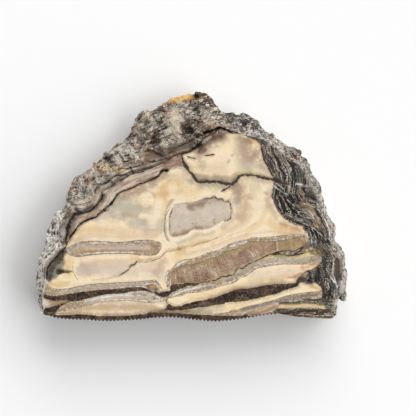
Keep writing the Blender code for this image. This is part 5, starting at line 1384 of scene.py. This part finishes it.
def stripColour(shop, places):
    # Thin layers of cementum between the two cracks
    layers = shop.drawn(places["flow"], *stripLayers["layers"])
    thin = shop.drawn(places["flow"], *stripLayers["thin"])
    grain = shop.noise(places["mm"], *stripLayers["grain"])
    brown = shop.over(shop.ramp(layers * 0.75 + grain * 0.25, stripLayers["tones"]), "wash")
    lined = shop.mix((1 - thin.between(0.33, 0.39)) * stripLayers["darkLayers"], brown, colour("darkBrown"))
    return shop.mix(thin.between(0.62, 0.68) * stripLayers["paleLayers"], lined, colour("crest"))


loopCores = {
    "ribs": ((1.3, 0.16), 4, 0.6),
    "clouds": (3.4, 4, 0.6),
    "grain": (0.45, 5),
    "tones": ((0.39, "umber"), (0.46, "roseBrown"), (0.53, "loopTan"), (0.64, "pink")),
    "goldenEdge": 0.6,
}


def loopColour(shop, places):
    # Brown cementum in the loops: grainy, with pinkish clouds, and golden at its edges
    ribs = shop.drawn(places["flow"], *loopCores["ribs"])
    clouds = shop.noise(places["mm"], *loopCores["clouds"])
    grain = shop.noise(places["mm"], *loopCores["grain"])
    brown = shop.ramp(ribs * 0.2 + clouds * 0.4 + grain * 0.4, loopCores["tones"])
    nearEdge = 1 - shop.attribute("core").between(0.1, 1.3)
    golden = nearEdge * clouds.between(0.35, 0.6) * loopCores["goldenEdge"]
    return shop.mix(golden, brown, colour("oliveGold"))


ovoid = {
    "clouds": (3, 4, 0.6),
    "grain": (0.7, 4),
    "tones": ((0.34, "roseBrown"), (0.41, "greyBeige"), (0.5, "ovoidGrey"), (0.6, "pink")),
    "rimLine": 0.7,
}


def ovoidColour(shop, places):
    # Mottled grey cementum with a broken brown line just inside its rim
    clouds = shop.noise(places["mm"], *ovoid["clouds"])
    grain = shop.noise(places["mm"], *ovoid["grain"])
    grey = shop.ramp(clouds * 0.72 + grain * 0.28, ovoid["tones"])
    edge = shop.attribute("ovoid")
    line = edge.between(0.05, 0.2) * (1 - edge.between(0.25, 0.5)) * grain.between(0.46, 0.56)
    return shop.mix(line * ovoid["rimLine"], grey, colour("rust"))


enamel = {
    "clouds": (0.9, 4, 0.5),
    "grain": (0.42, 4),
    "streaks": ((0.2, 3), 3, 0.3),
    "tint": (5, 3),
    "tones": ((0.41, "roseBrown"), (0.46, "enamelDark"), (0.51, "enamel"), (0.57, "enamelPale")),
    "golden": 0.4,
    "crust": 0.75,
}


def enamelColour(shop, places):
    # Grey enamel with pale crystals, crusted white at its scalloped edges
    clouds = shop.noise(places["mm"], *enamel["clouds"])
    grain = shop.noise(places["mm"], *enamel["grain"])
    streaks = shop.drawn(places["flow"], *enamel["streaks"])
    tint = shop.noise(places["mm"], *enamel["tint"])
    grey = shop.ramp(clouds * 0.36 + streaks * 0.36 + grain * 0.28, enamel["tones"])
    tinted = shop.mix(tint.between(0.42, 0.6) * enamel["golden"], grey, colour("oliveGold"))
    crust = (1 - shop.attribute("enamel").between(0.05, 0.5)) * clouds.between(0.47, 0.56)
    return shop.mix(crust * enamel["crust"], tinted, colour("white"))


darkFilling = {
    "clouds": (2.4, 4, 0.6),
    "grain": (0.6, 4),
    "tones": ((0.4, "black"), (0.5, "darkBrown"), (0.62, "umber")),
    "flecks": 0.4,
}


def darkColour(shop, places):
    # Near-black filling with brown clouds and a few pale flecks
    clouds = shop.noise(places["mm"], *darkFilling["clouds"])
    grain = shop.noise(places["mm"], *darkFilling["grain"])
    brown = shop.ramp(clouds * 0.55 + grain * 0.45, darkFilling["tones"])
    return shop.mix(grain.between(0.6, 0.68) * darkFilling["flecks"], brown, colour("stone"))


slivers = {
    "stretch": (0.18, 1.3, 1),
    "bend": (1 / 0.3, 2),
    "grain": (0.6, 4),
    "thin": ((1.3, 1.7), 4, 0.5),
    "tones": ((0.5, "black"), (0.68, "darkGrey"), (0.82, "slate"), (0.92, "umber"), (1.0, "stone")),
    "washes": 0.85,
    "flecks": 0.86,
    "gaps": 0.88,
}


def sliverColour(shop, places):
    # Broken slivers: every cell of a drawn-out pattern has its own tone and a dark or bright edge
    bend = shop.noise(places["mm"], *slivers["bend"], output="Color")
    bent = shop.place("ADD", shop.place("MULTIPLY", places["flow"], slivers["stretch"]), bend)
    grain = shop.noise(places["mm"], *slivers["grain"])
    cells = {"Vector": bent, "Scale": 1}
    cell = shop.make("ShaderNodeTexVoronoi", sockets=cells, output="Color")
    tone = shop.make("ShaderNodeSeparateColor", sockets={0: cell})
    edge = shop.make("ShaderNodeTexVoronoi", {"feature": "DISTANCE_TO_EDGE"}, cells)
    shards = shop.ramp(tone * 0.7 + grain * 0.6, slivers["tones"])
    painted = shop.over(shards, "wash", slivers["washes"])
    thin = shop.drawn(bent, *slivers["thin"])
    rims = edge.between(0.02, 0.05) * (1 - edge.between(0.07, 0.13)) * tone.between(0.42, 0.5)
    flecks = rims.larger(thin.between(0.585, 0.62)) * grain.between(0.4, 0.5)
    bright = shop.mix(flecks * slivers["flecks"], painted, colour("crest"))
    gaps = (1 - edge.between(0.01, 0.08)).larger(1 - thin.between(0.4, 0.45))
    return shop.mix(gaps * slivers["gaps"], bright, colour("black"))


barkLook = {
    "coarse": ((0.36, 0.95), 5, 0.7),
    "wrinkles": ((0.8, 2.2), 4, 0.8),
    "layers": ((0.12, 1.5), 4, 0.5),
    "blobs": (1, 5, 0.7),
    "fine": (0.5, 5),
    "patches": (3.6, 3, 0.5),
    "tint": (4, 3),
    "tones": ((0.4, "roseBrown"), (0.5, "stone"), (0.6, "paleStone")),
    "middleTone": 0.485,
    "rightContrast": 0.9,
    "leftContrast": 0.3,
    "pits": 0.9,
    "leftPaintedLight": 0.32,       # painted light: how far the low bark at the left end, which faces away from the suns, is lightened towards white
}


def barkColour(shop, places):
    # Granular bark: pale grains and dark pits between them, the pits partly its own dark specks and partly
    # painted shade in its hollows; layered beside the polished face
    coarse = shop.drawn(places["flow"], *barkLook["coarse"])
    wrinkles = shop.drawn(places["flow"], *barkLook["wrinkles"])
    layers = shop.drawn(places["flow"], *barkLook["layers"])
    blobs = shop.noise(places["mm"], *barkLook["blobs"])
    fine = shop.noise(places["mm"], *barkLook["fine"])
    patches = shop.noise(places["mm"], *barkLook["patches"]) - 0.5
    across, high = shop.axis(places["mm"], 0), shop.axis(places["mm"], 2)
    right = across.between(8, 22)
    left = (1 - across.between(-46, -41)) * high.between(7, 15)
    coarse = coarse + (blobs - coarse) * right
    layered = 1 - (shop.axis(places["flow"], 1) + (coarse - 0.5) * 8).between(2, 5)
    layered = layered * (1 - across.between(-3, 3)) * across.between(-45, -41)
    base = shop.ramp(shop.noise(places["mm"], *barkLook["tint"]), barkLook["tones"])
    painted = shop.over(base, "wash")
    granular = shop.attribute("grain") * 0.09 + coarse * 0.5 + fine * 0.5 + patches * 0.3
    granular = granular + (wrinkles - 0.5) * (0.55 - right * 0.35 + left * 0.2)
    tone = granular + (layers - granular) * layered * 0.8
    contrast = 1 + right * barkLook["rightContrast"] + left * barkLook["leftContrast"]
    tone = barkLook["middleTone"] + (tone - barkLook["middleTone"]) * contrast
    # Painted shade: the bark is darkened towards black, strongly right of the middle where the suns light it
    # from the right, less at the far right end, a little elsewhere and not at the left end
    shade = 0.1 + across.between(-2, 16) * 0.36 - across.between(38, 47) * 0.15
    barkShadeAndLight = shop.mix(shade - 0.1 * (1 - across.between(-44, -36)), painted, colour("black"))
    # Painted light: the low bark at the left end is lightened towards white
    barkShadeAndLight = shop.mix(left * barkLook["leftPaintedLight"], barkShadeAndLight, colour("white"))
    # Partly painted shade: the pits between the grains are darkened towards the pit colour
    darker = shop.mix((1 - tone.between(0.375, 0.48)) * barkLook["pits"], barkShadeAndLight, colour("pit"))
    pale = tone.between(0.52, 0.6) * (0.8 - layered * 0.3 - across.between(4, 34) * 0.38)
    # The pale grains are whiter at the left end, more painted light there, and ash grey on the right
    crest = shop.mix(right * 0.7, shop.mix(left * 0.75, colour("crest"), colour("white")), colour("ash"))
    return shop.mix(pale, darker, crest)


surface = {
    "ragged": (0.8, 4),              # noise that makes the edges of the bands uneven
    "bandOutline": 0.55,             # strength of the brown line round the enamel
    "lineWear": (1.1, 4),
    "paleGaps": (1.8, 3),
    "inks": {"brownLine": ("umber", 0.7), "paleLine": ("white", 0.7), "darkLine": ("black", 0.92)},
    # Strength of the painted shade round the black lines
    "lineHalo": 0.45,
    "polish": 0.34,                  # roughness of the polished face
    "cloudyPolish": (2.2, 3),
    "barkRoughness": 0.5,
    "sawnRoughness": 0.3,
    "roughest": 0.92,
    "relief": (0.5, 4),
}


def paintBands(shop, places, finish, masks):
    # The dentine, then each kind of band over the one before it
    ragged = shop.noise(places["mm"], *surface["ragged"]) - 0.5
    layers = (("strip", stripColour), ("ovoid", ovoidColour), ("enamel", enamelColour),
              ("core", loopColour), ("dark", darkColour), ("sliver", sliverColour))
    for name, look in layers:
        masks[name] = (shop.attribute(name) + ragged * 0.7).between(-0.09, 0.09)
        finish = shop.mix(masks[name], finish, look(shop, places))
        if name == "enamel":
            edge = shop.attribute("enamel") + ragged * 0.5
            outline = edge.between(-0.3, -0.1) * (1 - edge.between(0, 0.2))
            finish = shop.mix(outline * surface["bandOutline"], finish, colour("umber"))
    masks["bark"] = (shop.attribute("bark") + ragged * 0.8).between(-0.1, 0.1)
    return shop.mix(masks["bark"], finish, barkColour(shop, places))


def paintLines(shop, places, finish, masks):
    # Brown, white and black lines, the black ones with a brown halo of painted shade
    wear = shop.noise(places["mm"], *surface["lineWear"]) - 0.5
    broken = shop.noise(places["mm"], *surface["paleGaps"]).between(0.42, 0.54)
    for name, (ink, strength) in surface["inks"].items():
        line = shop.attribute(name) + wear * 2.2
        if name == "darkLine":
            # Painted shade: a brown halo round the black lines
            finish = shop.mix(line.between(-3.5, 0.5) * surface["lineHalo"], finish, colour("umber"))
        masks[name] = line.between(-0.1, 0.6)
        if name == "paleLine":
            masks[name] = masks[name] * (0.3 + broken * 0.7)
        finish = shop.mix(masks[name] * strength, finish, colour(ink))
    return finish


def fossilMaterial():
    material = bpy.data.materials.new("fossilTooth")
    material.use_nodes = True
    shop = Shop(material.node_tree)
    objectPlace = shop.make("ShaderNodeTexCoord", output="Object")
    places = {"mm": shop.place("MULTIPLY", objectPlace, (perMetre,) * 3),
              "flow": shop.attribute("flow", "Vector")}
    masks = {}
    finish = paintBands(shop, places, dentineColour(shop, places), masks)
    finish = paintLines(shop, places, shop.over(finish, "spot"), masks)
    cloudy = shop.noise(places["mm"], *surface["cloudyPolish"]) * 0.08
    roughness = surface["polish"] + cloudy - masks["dark"] * 0.06
    roughness = roughness + masks["bark"] * surface["barkRoughness"] + masks["darkLine"] * 0.25
    roughness = roughness + shop.attribute("sawn") * surface["sawnRoughness"]
    relief = shop.noise(places["mm"], *surface["relief"]) * masks["bark"] * 0.3 - masks["darkLine"] * 0.12
    bump = shop.make("ShaderNodeBump", sockets={"Height": relief, "Distance": 0.001, "Strength": 0.9})
    shader = material.node_tree.nodes["Principled BSDF"]
    for name, wire in (("Base Color", finish), ("Normal", bump),
                       ("Roughness", roughness.smaller(surface["roughest"]))):
        shop.tree.links.new(wire.socket, shader.inputs[name])
    return material


def buildTooth():
    # The mesh's corners, faces and the values that the material reads at each corner
    corners, faces, ring = planOf(rim, tooth["faceStep"], tooth["barkStep"], tooth["edgeGap"])
    print("top planned:", len(corners), "corners")
    height, depth, grain, flow = topSurface(corners)
    marks = markings(corners)
    layered = (depth > 0) | (marks["strip"] > -0.5)
    marks["flow"] = np.where(layered[:, None], flow, marks["flow"])
    rings, ringGrains, fluted = wallRings(height[ring])
    step = tooth["undersideStep"]
    underCorners, underFaces, underRing = planOf(rings[-1][:, :2], step, step, tooth["undersideGap"])
    print("underside planned:", len(underCorners), "corners")
    underMarks = markings(underCorners)

    # The ring of the top face, the rings of the wall, and the underside on the last of them
    count, around = len(corners), len(ring)
    wallEnd = count + around * len(rings)
    inner = np.setdiff1d(np.arange(len(underCorners)), underRing)
    places = [np.column_stack([corners, height])] + rings
    places.append(np.column_stack([underCorners[inner], np.zeros(len(inner))]))
    rows = [ring] + [count + around * row + np.arange(around) for row in range(len(rings))]
    quads = [np.column_stack([upper, np.roll(upper, -1), np.roll(lower, -1), lower])
             for upper, lower in zip(rows, rows[1:])]
    under = np.zeros(len(underCorners), int)
    under[underRing] = rows[-1]
    under[inner] = wallEnd + np.arange(len(inner))
    allFaces = faces.tolist() + np.vstack(quads).tolist() + under[underFaces][:, ::-1].tolist()

    def joined(top, wall, below):
        return np.concatenate([top, np.concatenate([wall(row) for row in range(len(rings))]), below[inner]])

    # The strokes fade out a little way down the wall, and the bands end at the rim
    least, uneven, fadeSize = tooth["strokesDown"]
    fades = least + uneven * noiseAt(rim, fadeSize, seeds["wallStrokes"])
    values = {}
    for name in (*regions, *lines, "washCover", "spotCover", "wash", "spot"):
        top = marks[name]
        hidden = name in regions or name in lines

        def onWall(row):
            if hidden:
                return np.full_like(top[ring], -farFromRegion)
            kept = (1 - fluted) * smooth(1 + (fades - (row + 1) / len(rings)) / uneven)
            return top[ring] * (kept if top.ndim == 1 else kept[:, None])

        values[name] = joined(top, onWall, underMarks[name])
    values["dark"][count:wallEnd] = np.tile(fluted * 2 - 1, len(rings))
    zeros = np.zeros(len(underCorners))
    values["bark"] = joined(depth, lambda row: 3 - 6 * fluted, zeros - 3)
    values["grain"] = joined(grain, lambda row: ringGrains[row], zeros)
    wallArc = np.arange(around) * tooth["outlineStep"]
    values["flow"] = joined(marks["flow"], lambda row: np.column_stack([wallArc, rings[row][:, 2]]),
                            underMarks["flow"])
    values["sawn"] = joined(height * 0, lambda row: np.zeros(around), zeros + 1)
    return np.vstack(places), allFaces, values


def addTooth():
    places, faces, values = buildTooth()
    low, high = (np.array(corner) * perMetre for corner in cadBox)
    places[:, :2] = np.clip(places[:, :2] - middle, low[:2] + boxMargin, high[:2] - boxMargin)
    places[:, 2] = np.clip(places[:, 2], 0, tooth["thickness"])
    mesh = bpy.data.meshes.new("fossilTooth")
    mesh.from_pydata((places / perMetre).tolist(), [], faces)
    for name, data in values.items():
        kind, slot = ("FLOAT", "value") if data.ndim == 1 else ("FLOAT_VECTOR", "vector")
        if data.ndim == 2 and data.shape[1] == 2:
            data = np.column_stack([data, np.zeros(len(data))])
        layer = mesh.attributes.new(name, kind, "POINT")
        layer.data.foreach_set(slot, np.ascontiguousarray(data, dtype=np.float32).ravel())
    mesh.shade_smooth()
    mesh.set_sharp_from_angle(angle=math.radians(tooth["sharpAngle"]))
    mesh.materials.append(fossilMaterial())
    piece = bpy.data.objects.new("fossilTooth", mesh)
    bpy.context.scene.collection.objects.link(piece)
    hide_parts("tooth_slice")
    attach(piece, "root")
    print("tooth:", len(mesh.vertices), "corners,", sum(len(f) - 2 for f in faces), "triangles")


def addFloor():
    bpy.ops.mesh.primitive_plane_add(size=studio["floorSize"], location=(0, 0, -studio["floorDrop"]))
    floor = bpy.context.object
    floor.name = "floor"
    material = bpy.data.materials.new("floor")
    material.use_nodes = True
    shader = material.node_tree.nodes["Principled BSDF"]
    shader.inputs["Base Color"].default_value = (studio["floor"],) * 3 + (1,)
    shader.inputs["Roughness"].default_value = 1.0
    shader.inputs["Specular IOR Level"].default_value = 0.0
    floor.data.materials.append(material)


def addLight():
    scene = bpy.context.scene
    scene.view_settings.view_transform = "Standard"
    scene.world = bpy.data.worlds.new("room")
    scene.world.use_nodes = True
    background = scene.world.node_tree.nodes["Background"]
    background.inputs["Color"].default_value = (1, 1, 1, 1)
    background.inputs["Strength"].default_value = studio["fill"]
    height = math.radians(studio["sunHeight"])
    for turn, power in studio["suns"]:
        sun = bpy.data.lights.new("sun", "SUN")
        sun.energy = power
        sun.angle = math.radians(studio["sunWidth"])
        lamp = bpy.data.objects.new("sun", sun)
        side = math.radians(turn)
        towards = Vector((math.cos(height) * math.cos(side), math.cos(height) * math.sin(side),
                          math.sin(height)))
        lamp.rotation_euler = towards.to_track_quat("Z", "Y").to_euler()
        scene.collection.objects.link(lamp)


def addCamera():
    lens = bpy.data.cameras.new("camera")
    lens.lens = studio["lens"]
    lens.sensor_width = studio["sensor"]
    lens.dof.use_dof = False
    camera = bpy.data.objects.new("camera", lens)
    aim = (np.array(studio["aim"]) - middle) / perMetre
    away = (tooth["thickness"] + studio["frameWidth"] * studio["lens"] / studio["sensor"]) / perMetre
    camera.location = (aim[0], aim[1], away)
    bpy.context.scene.collection.objects.link(camera)
    bpy.context.scene.camera = camera


addTooth()
addFloor()
addLight()
addCamera()
print("studio set")
